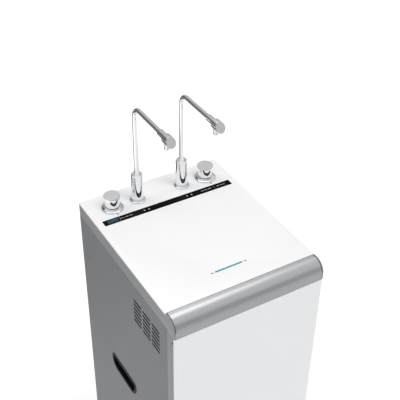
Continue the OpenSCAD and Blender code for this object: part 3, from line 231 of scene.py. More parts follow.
class DetailSettings(PropertyGroup):
    """Sizes of edges, printed marks, seals, tubes and fasteners."""

    panel_edge: length("Panel edge", 0.6, "Rounding of the white panels")
    cover_edge: length("Cover edge", 0.5, "Rounding of the grey mouldings")
    print_t: length("Print", 0.06, "Thickness of a printed mark")
    lens_w: length("Lens width", 4.0, "Width of the clear lens over the light bar")
    lens_t: length("Lens", 0.5, "Thickness of the lens over the light bar")
    dash: length("Dash", 6.5, "Length of a dash beside the light bar")
    dash_gap: length("Dash gap", 3.5, "Space between the light bar and a dash")
    dash_w: length("Dash width", 2.0, "Width of a dash beside the light bar")
    tick_l: length("Tick", 6.0, "Length of the tick in front of a knob")
    tick_w: length("Tick width", 1.8, "Width of the tick in front of a knob")
    seal_w: length("Door seal", 2.2, "Width of the seal on the door's inner face")
    seal_inset: length("Seal inset", 0.15, "Space between the seal and the door's outer edge")
    # The dark end strips paint the shade in the gaps at the front trim's ends
    end_shade: length("End seal", 0.9, "Thickness of the seal at each end of the front trim")
    end_shade_h: length("End seal height", 24.0, "How far the end seals reach down from the top")
    stop_r: length("Door stop", 2.2, "Radius of the rubber stop in the door's free edge")
    # The vents' black frames paint the shade at each slot's lip
    vent_rim: length("Vent frame", 0.7, "Width of the black frame round a vent's slot")
    knob_r: length("Knob", 16.4, "Radius of the knob's chrome body")
    knob_round: length("Knob round", 0.6, "Rounding at each end of the knob's chrome body")
    elbow: length("Elbow", 9.0, "Length of a push-fit elbow's arm")
    elbow_r: length("Elbow radius", 6.5, "Radius of a push-fit elbow")
    tube_r: length("Tube radius", 3.2, "Radius of a filter tube")
    screw_r: length("Screw", 3.2, "Radius of a pan head screw")
    screw_h: length("Screw height", 1.3, "Height of a pan head screw")


class StageSettings(PropertyGroup):
    """Camera, lamps and floor."""

    eye: FloatVectorProperty(
        name="Eye", description="Place of the camera", subtype="TRANSLATION", unit="LENGTH", size=3,
        default=(-0.6796, -1.1548, 2.0747))
    heading: angle("Heading", -31.039, "Turn of the camera about the vertical")
    dip: angle("Dip", 36.770, "How far the camera looks down")
    roll: angle("Roll", 0.919, "Turn of the camera about its own axis")
    lens: FloatProperty(
        name="Lens", description="Focal length on a 36 mm sensor", unit="CAMERA", default=74.44)
    sky: level("Sky", 0.69, "Level of the soft light from all round")
    key: level("Key", 0.83, "Level of the main lamp")
    rim: level("Rim", 0.36, "Level of the lamp behind on the left")
    fill: FloatProperty(
        name="Fill", description="Power of the softbox on the left", unit="POWER", default=5.0)
    floor: level("Floor", 0.28, "How much brighter the camera and mirrors see the floor")


def middle(node):
    """Middle of a CAD node's box."""
    low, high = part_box(node)
    return (Vector(low) + Vector(high)) / 2


def feed(tree, node, inputs):
    """Links sockets to a node's inputs, or sets the inputs' own values."""
    for name, value in inputs.items():
        if isinstance(value, bpy.types.NodeSocket):
            tree.links.new(value, node.inputs[name])
        else:
            node.inputs[name].default_value = value


def add(tree, kind, inputs=None, **settings):
    """Adds one node, with its settings, values and links, and gives its outputs."""
    node = tree.nodes.new("ShaderNode" + kind)
    for name, value in settings.items():
        setattr(node, name, value)
    feed(tree, node, inputs or {})
    return node.outputs


def blank(name):
    """A new material with its tree and its surface shader."""
    material = bpy.data.materials.new(name)
    material.use_nodes = True
    return material, material.node_tree, material.node_tree.nodes["Principled BSDF"]


def axes(tree):
    """The object's own coordinates, with a socket for each axis."""
    return add(tree, "SeparateXYZ", {"Vector": add(tree, "TexCoord")["Object"]})


def speckle(tree, grain_mm, detail=3.0, stretch=(1.0, 1.0, 1.0)):
    """Noise in the object's own coordinates, with grains of a real size."""
    place = add(tree, "TexCoord")["Object"]
    scaled = add(tree, "Mapping", {"Vector": place, "Scale": stretch})["Vector"]
    settings = {"Vector": scaled, "Scale": 1 / (grain_mm * MM), "Detail": detail}
    return add(tree, "TexNoise", settings)["Fac"]


def shade(tree, pattern, base, depth):
    """Varies a colour a little, from darker by a share to as it is written."""
    share = add(tree, "MapRange", {"Value": pattern, **NOISE_SPAN})["Result"]
    dark = [c * (1 - depth) for c in base]
    colours = {SHARE: share, FIRST: [*dark, 1.0], SECOND: [*base, 1.0]}
    return add(tree, "Mix", colours, data_type="RGBA")[MIXED]


def texture(tree, surface, pattern, roughness, swing, depth_mm=0.0):
    """Gives a surface a range of roughness, and a bump of a real depth, from one pattern."""
    limits = {"To Min": roughness - swing, "To Max": roughness + swing}
    span = {"Value": pattern, **NOISE_SPAN, **limits}
    feed(tree, surface, {"Roughness": add(tree, "MapRange", span)["Result"]})
    if depth_mm:
        bump = add(tree, "Bump", {"Height": pattern, "Distance": depth_mm * MM})
        feed(tree, surface, {"Normal": bump["Normal"]})


def moulded(name, base, roughness, grain_mm, depth_mm, gloss=0.5, drift=0.03):
    """Moulded or coated skin: a grain, drawn coarse enough to show, and a faint drift of tone."""
    material, tree, surface = blank(name)
    texture(tree, surface, speckle(tree, grain_mm), roughness, swing=0.05, depth_mm=depth_mm)
    feed(tree, surface, {
        "Base Color": shade(tree, speckle(tree, grain_mm=90.0), base, drift),
        "IOR": 1.53,
        "Specular IOR Level": gloss})
    return material


def vent_wall_shade(tree):
    """One on the cut edges of the side vents, inside the thickness of the sheet, where shade is
    painted.
    """
    place = axes(tree)
    aside = add(tree, "Math", {0: place["X"]}, operation="ABSOLUTE")["Value"]
    panel_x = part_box("side_panel_right")[1][0]
    sheet = {0: aside, 1: panel_x - SHEET_T / 2, 2: SHEET_T * WALL_SHADE_SHARE}
    inside = add(tree, "Math", sheet, operation="COMPARE")["Value"]
    for axis, low, high in zip("YZ", VENT_LOW, VENT_HIGH):
        span = {0: place[axis], 1: (low + high) / 2, 2: (high - low) / 2}
        within = add(tree, "Math", span, operation="COMPARE")["Value"]
        inside = add(tree, "Math", {0: inside, 1: within}, operation="MULTIPLY")["Value"]
    return inside


def powder_coat(name, base):
    """Powder coated steel: a pebbled skin, drawn coarse enough to show, with painted shade on the
    vents' cut edges.
    """
    material, tree, surface = blank(name)
    pebble = speckle(tree, grain_mm=1.6, detail=2.0)
    texture(tree, surface, pebble, roughness=0.53, swing=0.07, depth_mm=0.03)
    coat = shade(tree, speckle(tree, grain_mm=140.0), base, depth=0.035)
    # Painted shade: the vents' cut edges are coloured near black
    colours = {SHARE: vent_wall_shade(tree), FIRST: coat, SECOND: [*linear("#141516"), 1.0]}
    feed(tree, surface, {
        "Base Color": add(tree, "Mix", colours, data_type="RGBA")[MIXED],
        "IOR": 1.5,
        "Specular IOR Level": 0.15})
    return material


def brushed(name, base, roughness, line_mm=0.35, stretch=(0.012, 1.0, 1.0)):
    """Brushed or rolled metal: lines along one axis, drawn wide enough to show, streak the shine."""
    material, tree, surface = blank(name)
    lines = speckle(tree, line_mm, detail=2.0, stretch=stretch)
    texture(tree, surface, lines, roughness, swing=0.06, depth_mm=0.004)
    feed(tree, surface, {"Base Color": shade(tree, lines, base, depth=0.08), "Metallic": 1.0})
    return material


def turned(name, base, roughness, centre, plane):
    """Turned metal face: rings, drawn wide enough to show, round an axis on each side."""
    material, tree, surface = blank(name)
    place = axes(tree)
    aside = add(tree, "Math", {0: place["X"]}, operation="ABSOLUTE")["Value"]
    across = {"X": aside, "Y": place[plane]}
    pair = {0: add(tree, "CombineXYZ", across)["Vector"], 1: (*centre, 0.0)}
    reach = add(tree, "VectorMath", pair, operation="DISTANCE")["Value"]
    ring_mm = 0.45
    count = {"W": reach, "Scale": 1 / (ring_mm * MM)}
    rings = add(tree, "TexNoise", count, noise_dimensions="1D")["Fac"]
    texture(tree, surface, rings, roughness, swing=0.05, depth_mm=0.006)
    feed(tree, surface, {"Base Color": shade(tree, rings, base, depth=0.05), "Metallic": 1.0})
    return material


def chrome(name, base, dull):
    """Bright chrome: a mirror with a faint haze, and painted shade at the foot, where it stands on
    the top panel.
    """
    material, tree, surface = blank(name)
    haze = speckle(tree, grain_mm=14.0, detail=4.0)
    texture(tree, surface, haze, roughness=0.055, swing=0.025)
    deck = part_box("top_panel")[1][2]
    # Painted shade: the chrome's colour turns to the darker grey towards its foot on the top panel
    film = {"Value": axes(tree)["Z"], "From Min": deck + FOOT_SHADE[0], "From Max": deck + FOOT_SHADE[1]}
    unshaded = add(tree, "MapRange", film)["Result"]
    colours = {SHARE: unshaded, FIRST: [*dull, 1.0], SECOND: shade(tree, haze, base, depth=0.02)}
    feed(tree, surface, {
        "Base Color": add(tree, "Mix", colours, data_type="RGBA")[MIXED],
        "Metallic": 1.0})
    return material


def machined(name, base, roughness):
    """Machined, cast or plated metal: coarsely drawn tool marks and a soft spread of tone."""
    material, tree, surface = blank(name)
    marks = speckle(tree, grain_mm=0.8, detail=4.0)
    texture(tree, surface, marks, roughness, swing=0.08, depth_mm=0.01)
    tone = shade(tree, speckle(tree, grain_mm=18.0), base, depth=0.12)
    feed(tree, surface, {"Base Color": tone, "Metallic": 1.0})
    return material


def black_glass(name, base):
    """Back-painted glass: deep black under a clear polished face with a little dust."""
    material, tree, surface = blank(name)
    dust = speckle(tree, grain_mm=6.0, detail=5.0)
    texture(tree, surface, dust, roughness=0.11, swing=0.05)
    feed(tree, surface, {
        "Base Color": shade(tree, dust, base, depth=0.3),
        "IOR": 1.52,
        "Specular IOR Level": 0.06})
    return material


def lit_acrylic(name, base, strength, gloss=0.5):
    """Lit acrylic: a frosted light guide that glows a little unevenly along its length."""
    material, tree, surface = blank(name)
    frost = speckle(tree, grain_mm=5.0, detail=2.0)
    texture(tree, surface, frost, roughness=0.325, swing=0.075)
    glow = shade(tree, frost, base, depth=0.15)
    feed(tree, surface, {
        "Base Color": glow,
        "Emission Color": glow,
        "Emission Strength": strength,
        "IOR": 1.49,
        "Specular IOR Level": gloss})
    return material


def printed(name, base):
    """Screen print: a thin film of ink with a slightly uneven gloss."""
    material, tree, surface = blank(name)
    film = speckle(tree, grain_mm=1.2, detail=2.0)
    texture(tree, surface, film, roughness=0.5, swing=0.1)
    feed(tree, surface, {"Base Color": shade(tree, film, base, depth=0.1)})
    return material


def banded(name, base, band, half_mm):
    """Moulded cartridge: smooth white plastic with a coloured sleeve round its middle."""
    material, tree, surface = blank(name)
    grain = speckle(tree, grain_mm=0.9)
    texture(tree, surface, grain, roughness=0.33, swing=0.05, depth_mm=0.008)
    aside = add(tree, "Math", {0: axes(tree)["X"]}, operation="ABSOLUTE")["Value"]
    sleeve = {0: aside, 1: half_mm * MM}
    colours = {
        SHARE: add(tree, "Math", sleeve, operation="LESS_THAN")["Value"],
        FIRST: shade(tree, speckle(tree, grain_mm=40.0), base, depth=0.03),
        SECOND: [*band, 1.0]}
    feed(tree, surface, {"Base Color": add(tree, "Mix", colours, data_type="RGBA")[MIXED]})
    return material


def paint(material, *nodes):
    """Gives CAD nodes a finish."""
    for name in nodes:
        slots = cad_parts[name].data.materials
        slots.clear()
        slots.append(material)


def built(name, bm, material):
    """Makes a bmesh an object with a finish, with its place in its mesh."""
    mesh = bpy.data.meshes.new(name)
    bm.to_mesh(mesh)
    bm.free()
    mesh.materials.append(material)
    obj = bpy.data.objects.new(name, mesh)
    bpy.context.scene.collection.objects.link(obj)
    return obj


def piece(name, bm, body, material, replaces=()):
    """Makes a bmesh a piece of the purifier that rides on a body."""
    obj = built(name, bm, material)
    if not obj.data.polygons:
        raise RuntimeError(f"{name} has no faces")
    obj.data.shade_smooth()
    obj.data.set_sharp_from_angle(angle=CREASE)
    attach(obj, body)
    if replaces:
        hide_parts(*replaces)


def rounded(bm, geom, offset, segments, affect="EDGES", clamp=False):
    """Rounds edges, or the corners at vertices."""
    bmesh.ops.bevel(
        bm, geom=geom, offset=offset, offset_type="OFFSET", segments=segments, profile=0.5,
        affect=affect, clamp_overlap=clamp, material=-1)


def softened(node, body, material, width, segments=2):
    """A copy of a CAD node whose sharp edges are rounded a little."""
    bm = bmesh.new()
    bm.from_mesh(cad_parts[node].data)
    bmesh.ops.remove_doubles(bm, verts=bm.verts, dist=MERGE)
    bmesh.ops.dissolve_limit(bm, angle_limit=FLAT, verts=bm.verts, edges=bm.edges)
    sharp = [e for e in bm.edges if e.is_manifold and e.calc_face_angle(0.0) > SHARP]
    rounded(bm, sharp, width, segments, clamp=True)
    piece(node + "_soft", bm, body, material, replaces=(node,))


def flat_ring(place, wide, high, rim, thick, corner=0.0):
    """A flat frame across the X and Y of a matrix, built up along its Z."""
    bm = bmesh.new()
    bmesh.ops.create_grid(
        bm, x_segments=1, y_segments=1, size=0.5, matrix=Matrix.Diagonal((wide, high, 1.0, 1.0)))
    if corner:
        rounded(bm, bm.verts[:], corner, segments=6, affect="VERTICES")
    inner = bm.faces[:]
    ring = bmesh.ops.inset_region(
        bm, faces=inner, thickness=rim, use_boundary=True, use_even_offset=True)["faces"]
    bmesh.ops.delete(bm, geom=inner, context="FACES_ONLY")
    grown = bmesh.ops.extrude_face_region(bm, geom=ring)["geom"]
    lifted = [v for v in grown if isinstance(v, bmesh.types.BMVert)]
    bmesh.ops.translate(bm, verts=lifted, vec=(0, 0, thick))
    bmesh.ops.recalc_face_normals(bm, faces=bm.faces)
    bmesh.ops.transform(bm, matrix=place, verts=bm.verts)
    return bm


def rod(bm, start, end, radius, tip=None):
    """Adds a round bar between two points to a bmesh, tapered where a tip is given."""
    start, end = Vector(start), Vector(end)
    run = end - start
    turn = run.normalized().to_track_quat("Z", "Y").to_matrix().to_4x4()
    bmesh.ops.create_cone(
        bm, cap_ends=True, segments=ROUND_SIDES, radius1=radius,
        radius2=radius if tip is None else tip, depth=run.length,
        matrix=Matrix.Translation((start + end) / 2) @ turn)


def join(bm, other):
    """Adds a bmesh to another and frees it."""
    mesh = bpy.data.meshes.new("joined")
    other.to_mesh(mesh)
    other.free()
    bm.from_mesh(mesh)
    bpy.data.meshes.remove(mesh)


def bar(bm, centre, size):
    """Adds a box to a bmesh."""
    shape = Matrix.Translation(centre) @ Matrix.Diagonal((*size, 1.0))
    bmesh.ops.create_cube(bm, size=1.0, matrix=shape)


def screw_head(radius, height):
    """A pan head with a cross recess, standing on the origin."""
    crown, land, lip = 0.82 * radius, 0.06 * radius, 0.03 * radius
    arm, notch, arm_half = 0.55 * radius, 0.19 * radius, math.radians(20)
    soft, recess, upper = 0.4 * height, 0.45 * height, 0.9 * height
    bm = bmesh.new()
    bmesh.ops.create_cone(
        bm, cap_ends=True, segments=ROUND_SIDES, radius1=radius, radius2=crown, depth=height,
        matrix=Matrix.Translation((0, 0, height / 2)))
    rim = [e for e in bm.edges if all(v.co.z > upper for v in e.verts)]
    rounded(bm, rim, soft, segments=3)
    face = max(bm.faces, key=lambda f: f.calc_center_median().z)
    bmesh.ops.inset_individual(bm, faces=[face], thickness=land)
    for vert in face.verts:
        spoke = abs(math.remainder(math.atan2(vert.co.y, vert.co.x), math.pi / 2))
        vert.co.xy = vert.co.xy.normalized() * (arm if spoke < arm_half else notch)
    bmesh.ops.inset_individual(bm, faces=[face], thickness=lip, depth=-recess)
    return bm


def screws(name, material, places, outward):
    """Screws set on a face of the cabinet that looks along an axis."""
    detail = bpy.context.scene.purifier_detail
    turn = Vector((0, 0, 1)).rotation_difference(Vector(outward)).to_matrix().to_4x4()
    bm = bmesh.new()
    for place in places:
        one = screw_head(detail.screw_r, detail.screw_h)
        bmesh.ops.transform(one, matrix=Matrix.Translation(place) @ turn, verts=one.verts)
        join(bm, one)
    piece(name, bm, "cabinet", material)


class PURIFIER_OT_finishes(Operator):
    """Make every finish and give it to the CAD nodes that keep their shape"""

    bl_idname = "purifier.finishes"
    bl_label = "Finishes"

    def execute(self, context):
        finish = context.scene.purifier_finish
        for name, tone, roughness, grain_mm, depth_mm, nodes in MOULDED:
            paint(moulded(name, linear(tone), roughness, grain_mm, depth_mm), *nodes)
        for name, tone, roughness, nodes in MACHINED:
            paint(machined(name, linear(tone), roughness), *nodes)
        self.sheets(finish)
        self.taps(finish)
        self.controls(finish)
        self.cartridges()
        return {"FINISHED"}

    def sheets(self, finish):
        """Panels, inner sheets, front trim and the steel tank."""
        # Powder coat: a matt grey skin with a fine pebble, and painted shade on the vents' cut edges
        paint(powder_coat("grey_powder_coat", finish.side),
              "side_panel_left", "side_panel_right", "rear_panel")
        # Zinc plate: cold grey with the lines of the rolled sheet
        paint(brushed("zinc_plated_steel", linear("#B4B7BA"), roughness=0.4, line_mm=0.8,
                      stretch=(0.05, 1.0, 0.05)),
              "service_wall", "tank_shelf", "filter_bracket", "hinge_pins")
        # Anodised aluminium: a satin band with fine lines along it
        paint(brushed("satin_anodised_aluminium", finish.trim, roughness=0.34), "nose_trim")
        # Stainless steel: bright, with lines along its height
        paint(brushed("brushed_stainless", linear("#C3C6C9"), roughness=0.32, line_mm=0.5,
                      stretch=(1.0, 1.0, 0.02)),
              "hot_tank")

    def taps(self, finish):
        """Taps and knobs."""
        knob, cap = middle("knob_disc_right"), middle("spout_cap_right")
        # Chrome: a bright mirror, with a darker grey at its foot as painted shade
        paint(chrome("bright_chrome", finish.chrome, linear("#CCCED0")),
              "tap_body_left", "tap_body_right", "spout_tube_left", "spout_tube_right",
              "spout_head_left", "spout_head_right", "knob_left", "knob_right", "knob_rings")
        # Turned aluminium: a satin face with rings
        paint(turned("turned_aluminium_knob", finish.knob, roughness=0.4,
                     centre=(knob.x, knob.y), plane="Y"),
              "knob_disc_left", "knob_disc_right")
        paint(turned("turned_aluminium_spout", finish.disc, roughness=0.4,
                     centre=(cap.x, cap.z), plane="Z"),
              "spout_cap_left", "spout_cap_right")

    def controls(self, finish):
        """Control strip, light bar and the black mouldings."""
        # Back-painted glass: a deep black mirror
        paint(black_glass("back_painted_glass", finish.strip), "control_strip")
        # Acrylic: a frosted guide with a blue-green glow
        paint(lit_acrylic("lit_acrylic", finish.light, strength=0.12), "led_bar")
        # Black ABS: fine grained, with little gloss
        paint(moulded("moulded_black_abs", linear("#101113"), roughness=0.5, grain_mm=0.8,
                      depth_mm=0.02, gloss=0.1),
              "handle_cup_left", "handle_cup_right", "switch_housings", "rocker_hot",
              "rocker_cold", "cord_gland")

    def cartridges(self):
        """Filters with a coloured film round a white body, and nothing printed on it."""
        white = linear("#EDEFF1")
        paint(banded("sleeved_pvc", white, linear("#3E7FB8"), half_mm=78.0), "membrane_housing")
        paint(banded("sleeved_polypropylene", white, linear("#8FC3DD"), half_mm=62.0), "fine_filters")


class PURIFIER_OT_mouldings(Operator):
    """Round the edges of the white panels and the grey mouldings"""

    bl_idname = "purifier.mouldings"
    bl_label = "Mouldings"

    def execute(self, context):
        finish = context.scene.purifier_finish
        detail = context.scene.purifier_detail
        # ABS: a glossy white on the panels, a fine matt grain on the grey mouldings; the door's white
        # is set darker than the top's, which paints part of the front's shade
        top = moulded("white_abs_top", finish.top, roughness=0.3, grain_mm=1.2,
                      depth_mm=0.002, gloss=0.2, drift=0.015)
        door = moulded("white_abs_door", finish.door, roughness=0.28, grain_mm=1.2,
                       depth_mm=0.002, drift=0.015)
        grey = moulded("moulded_grey_abs", finish.cover, roughness=0.48, grain_mm=0.9,
                       depth_mm=0.015, gloss=0.2)
        softened("top_panel", "cabinet", top, detail.panel_edge, segments=3)
        softened("door_panel", "door", door, detail.panel_edge, segments=3)
        softened("top_cover", "cabinet", grey, detail.cover_edge)
        softened("door_frame", "door", grey, detail.cover_edge)
        return {"FINISHED"}


class PURIFIER_OT_knobs(Operator):
    """Turn the chrome bodies of the knobs on a lathe, with a small round at each end"""

    bl_idname = "purifier.knobs"
    bl_label = "Knobs"

    def execute(self, context):
        detail = context.scene.purifier_detail
        chromed = bpy.data.materials["bright_chrome"]
        wall, face = detail.knob_r, detail.knob_r - detail.knob_round
        for node in ("knob_left", "knob_right"):
            at, foot, head = middle(node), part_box(node)[0][2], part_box(node)[1][2]
            profile = ((0.0, foot), (face, foot), (wall, foot + detail.knob_round),
                       (wall, head - detail.knob_round), (face, head), (0.0, head))
            bm = bmesh.new()
            verts = [bm.verts.new((at.x + r, at.y, z)) for r, z in profile]
            for pair in zip(verts, verts[1:]):
                bm.edges.new(pair)
            rounded(bm, [verts[2], verts[3]], detail.knob_round * KNOB_BLEND, segments=3,
                    affect="VERTICES")
            bmesh.ops.spin(
                bm, geom=bm.verts[:] + bm.edges[:], cent=(at.x, at.y, 0), axis=(0, 0, 1),
                dvec=(0, 0, 0), angle=math.tau, steps=KNOB_SIDES, use_merge=True)
            bmesh.ops.remove_doubles(bm, verts=bm.verts, dist=MERGE)
            bmesh.ops.recalc_face_normals(bm, faces=bm.faces)
            piece(node + "_body", bm, node, chromed, replaces=(node,))
        return {"FINISHED"}


class PURIFIER_OT_seals(Operator):
    """Fit the door's seal and stop, and the dark strips, frames and pads that paint shade in the
    trim's seams and at the vents
    """

    bl_idname = "purifier.seals"
    bl_label = "Seals"

    def execute(self, context):
        finish = context.scene.purifier_finish
        detail = context.scene.purifier_detail
        # Rubber: soft and dull, in the grey of the door frame and in black; the black also paints the
        # shade in the front trim's seam and at its ends
        grey = moulded("grey_seal_rubber", finish.cover, roughness=0.7, grain_mm=1.2,
                       depth_mm=0.02, gloss=0.1)
        dark = moulded("dark_seal_rubber", linear("#1A1B1D"), roughness=0.75, grain_mm=1.2,
                       depth_mm=0.02, gloss=0.1)
        # Foam: black, which paints the shade inside the vents
        foam = moulded("black_dust_foam", linear("#0C0D0E"), roughness=0.95, grain_mm=2.2,
                       depth_mm=0.4, gloss=0.0)
        self.door_seal(detail, grey)
        self.door_stop(detail, dark)
        # Dark strips paint the shade in the front trim's seam and at its ends
        self.trim_seal(dark)
        self.trim_end_seals(detail, dark)
        # Black frames round the slots and black pads behind them paint the shade of the vents
        self.vent_frames(detail, bpy.data.materials["moulded_black_abs"])
        self.vent_screens(foam)
        return {"FINISHED"}

    def door_seal(self, detail, material):
        """A ring on the door's inner face and a strip on its top, which almost fill the gaps."""
        low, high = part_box("door_frame")
        thick = (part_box("side_panel_left")[0][1] - high[1]) * RING_FILL
        west, east = low[0] + detail.seal_inset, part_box("hinge_pins")[0][0]
        bottom, top = low[2] + detail.seal_inset, high[2] - detail.seal_inset
        place = (Matrix.Translation(((west + east) / 2, high[1], (bottom + top) / 2))
                 @ Matrix.Rotation(-math.pi / 2, 4, "X"))
        bm = flat_ring(place, east - west, top - bottom, detail.seal_w, thick)
        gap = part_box("nose_trim")[0][2] - high[2]
        strip = (east - west, high[1] - low[1] - detail.seal_inset, gap * STRIP_FILL)
        bar(bm, ((west + east) / 2, (low[1] + high[1]) / 2, high[2] + strip[2] / 2), strip)
        piece("door_seal", bm, "door", material)

    def door_stop(self, detail, material):
        """A small rubber stop in the door's free edge, near its top."""
        low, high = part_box("door_frame")
        at = Vector((low[0], low[1] + detail.stop_r, high[2] - STOP_DROP))
        half = Vector((STOP_H / 2, 0, 0))
        bm = bmesh.new()
        rod(bm, at - half, at + half, detail.stop_r, detail.stop_r * STOP_TAPER)
        piece("door_stop", bm, "door", material)

    def trim_seal(self, material):
        """A dark strip in the seam behind the front trim, which paints the seam's shade."""
        low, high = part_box("nose_trim")
        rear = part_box("top_panel")[0]
        size = (high[0] - low[0], (rear[1] - high[1]) * SEAM_FILL, high[2] - rear[2] - SEAM_DROP)
        bm = bmesh.new()
        bar(bm, (0, (rear[1] + high[1]) / 2, (rear[2] + high[2]) / 2), size)
        piece("trim_seal", bm, "cabinet", material)

    def trim_end_seals(self, detail, material):
        """A dark slice over each end of the front trim, cut from a copy of it and swollen, which
        paints the shade in the gap at each end.
        """
        low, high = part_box("nose_trim")
        ends = bmesh.new()
        for side in (-1, 1):
            one = bmesh.new()
            one.from_mesh(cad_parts["nose_trim"].data)
            bmesh.ops.remove_doubles(one, verts=one.verts, dist=MERGE)
            cuts = (((side * (high[0] - detail.end_shade), 0, 0), (-side, 0, 0)),
                    ((0, 0, high[2] - detail.end_shade_h), (0, 0, -1)))
            for point, outward in cuts:
                whole = one.verts[:] + one.edges[:] + one.faces[:]
                made = bmesh.ops.bisect_plane(
                    one, geom=whole, plane_co=point, plane_no=outward, clear_outer=True)
                loop = [e for e in made["geom_cut"] if isinstance(e, bmesh.types.BMEdge)]
                bmesh.ops.triangle_fill(one, use_beauty=True, edges=loop)
            bmesh.ops.recalc_face_normals(one, faces=one.faces)
            for vert in one.verts:
                vert.co += vert.normal * END_SWELL
                vert.co.y = max(vert.co.y, low[1])
            join(ends, one)
        piece("trim_end_seals", ends, "cabinet", material)

    def vent_frames(self, detail, material):
        """A thin black frame round each slot of the side vents, which paints the shade at the slot's
        lip.
        """
        wide, high = SLOT_L + 2 * detail.vent_rim, SLOT_H + 2 * detail.vent_rim
        panel_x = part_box("side_panel_right")[1][0]
        bm = bmesh.new()
        for side in (-1, 1):
            turn = Matrix(((0, 0, side), (side, 0, 0), (0, 1, 0))).to_4x4()
            for y in SLOT_Y:
                for row in range(SLOT_ROWS):
                    at = (side * panel_x, y, SLOT_TOP - row * SLOT_PITCH)
                    join(bm, flat_ring(
                        Matrix.Translation(at) @ turn, wide, high, detail.vent_rim,
                        VENT_RIM_T, high * HALF_ROUND))
        piece("vent_frames", bm, "cabinet", material)

    def vent_screens(self, material):
        """Foam pads behind the vents of the side panels, which keep dust out, and whose black paints
        the shade inside the vents.
        """
        (front, bottom), (rear, top) = VENT_LOW, VENT_HIGH
        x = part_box("side_panel_right")[1][0] - SHEET_T - SCREEN_T / 2
        bm = bmesh.new()
        for side in (-1, 1):
            centre = (side * x, (front + rear) / 2, (bottom + top) / 2)
            bar(bm, centre, (SCREEN_T, rear - front, top - bottom))
        piece("vent_screens", bm, "cabinet", material)


class PURIFIER_OT_tubes(Operator):
    """Link the filter cartridges one after another with push-fit elbows and tubes"""

    bl_idname = "purifier.tubes"
    bl_label = "Tubes"

    def execute(self, context):
        detail = context.scene.purifier_detail
        low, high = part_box("fine_filters")
        radius, y = (high[1] - low[1]) / 2, (low[1] + high[1]) / 2
        last_row = 3
        pitch = (high[2] - low[2] - 2 * radius) / last_row
        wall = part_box("service_wall")[0][1]
        elbows, tubes = bmesh.new(), bmesh.new()

        def corner(side, row):
            """Middle of the elbow on one end of a cartridge."""
            return Vector((side * (high[0] + detail.elbow), y, low[2] + radius + row * pitch))

        def elbow(side, row, outward):
            """An elbow from the end of a cartridge to a tube that leaves along an axis."""
            at = corner(side, row)
            mouth = at + outward * detail.elbow * MOUTH_SHARE
            rod(elbows, at - Vector((side * detail.elbow, 0, 0)), at, detail.elbow_r)
            bmesh.ops.create_uvsphere(
                elbows, u_segments=ROUND_SIDES, v_segments=ROUND_SIDES // 2,
                radius=detail.elbow_r, matrix=Matrix.Translation(at))
            rod(elbows, at, mouth, detail.elbow_r, detail.elbow_r * MOUTH_TAPER)

        up, rearward = Vector((0, 0, 1)), Vector((0, 1, 0))
        for side, row in ((1, 2), (-1, 1), (1, 0)):
            elbow(side, row, up)
            elbow(side, row + 1, -up)
            rod(tubes, corner(side, row), corner(side, row + 1), detail.tube_r)
        for row in (0, last_row):
            at = corner(-1, row)
            elbow(-1, row, rearward)
            rod(tubes, at, (at.x, wall, at.z), detail.tube_r)
        white = bpy.data.materials["white_polypropylene"]
        piece("tube_elbows", elbows, "cabinet", white)
        hose = bpy.data.materials["clear_polythene_hose"]
        piece("filter_tubes", tubes, "cabinet", hose)
        return {"FINISHED"}


class PURIFIER_OT_strip_marks(Operator):
    """Print the display window, the bars and the dots on the control strip"""

    bl_idname = "purifier.strip_marks"
    bl_label = "Strip marks"

    def execute(self, context):
        finish = context.scene.purifier_finish
        film = context.scene.purifier_detail.print_t
        low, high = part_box("control_strip")
        y, z, deep = (low[1] + high[1]) / 2, high[2], high[1] - low[1]
        marks, window, lines = bmesh.new(), bmesh.new(), bmesh.new()
        for x, wide in STRIP_BARS:
            bar(marks, (x * MM, y, z), (wide * MM, BAR_W, film))
        for x in STRIP_DOTS:
            rod(marks, (x * MM, y, z - film / 2), (x * MM, y, z + film / 2), DOT_R)
        for x in STRIP_DIVIDERS:
            bar(marks, (x * MM, y, z), (DIVIDER_W, deep * DIVIDER_SHARE, film))
        bar(window, (WINDOW_X * MM, y, z), (WINDOW_L, deep * WINDOW_SHARE, film))
        for x, wide, shift in WINDOW_LINES:
            bar(lines, (x * MM, y + shift * MM, z + film), (wide * MM, LINE_W, film))
        # Ink: a pale, flat film
        ink = printed("pale_strip_ink", finish.mark)
        piece("strip_marks", marks, "cabinet", ink)
        # Acrylic: a dark blue window with a faint glow, and brighter lines in it
        tinted = lit_acrylic("tinted_acrylic", linear("#223B46"), strength=0.1, gloss=0.1)
        piece("display_window", window, "cabinet", tinted)
        glowing = lit_acrylic("glowing_acrylic", linear("#4A7686"), strength=0.1, gloss=0.1)
        piece("display_lines", lines, "cabinet", glowing)
        return {"FINISHED"}


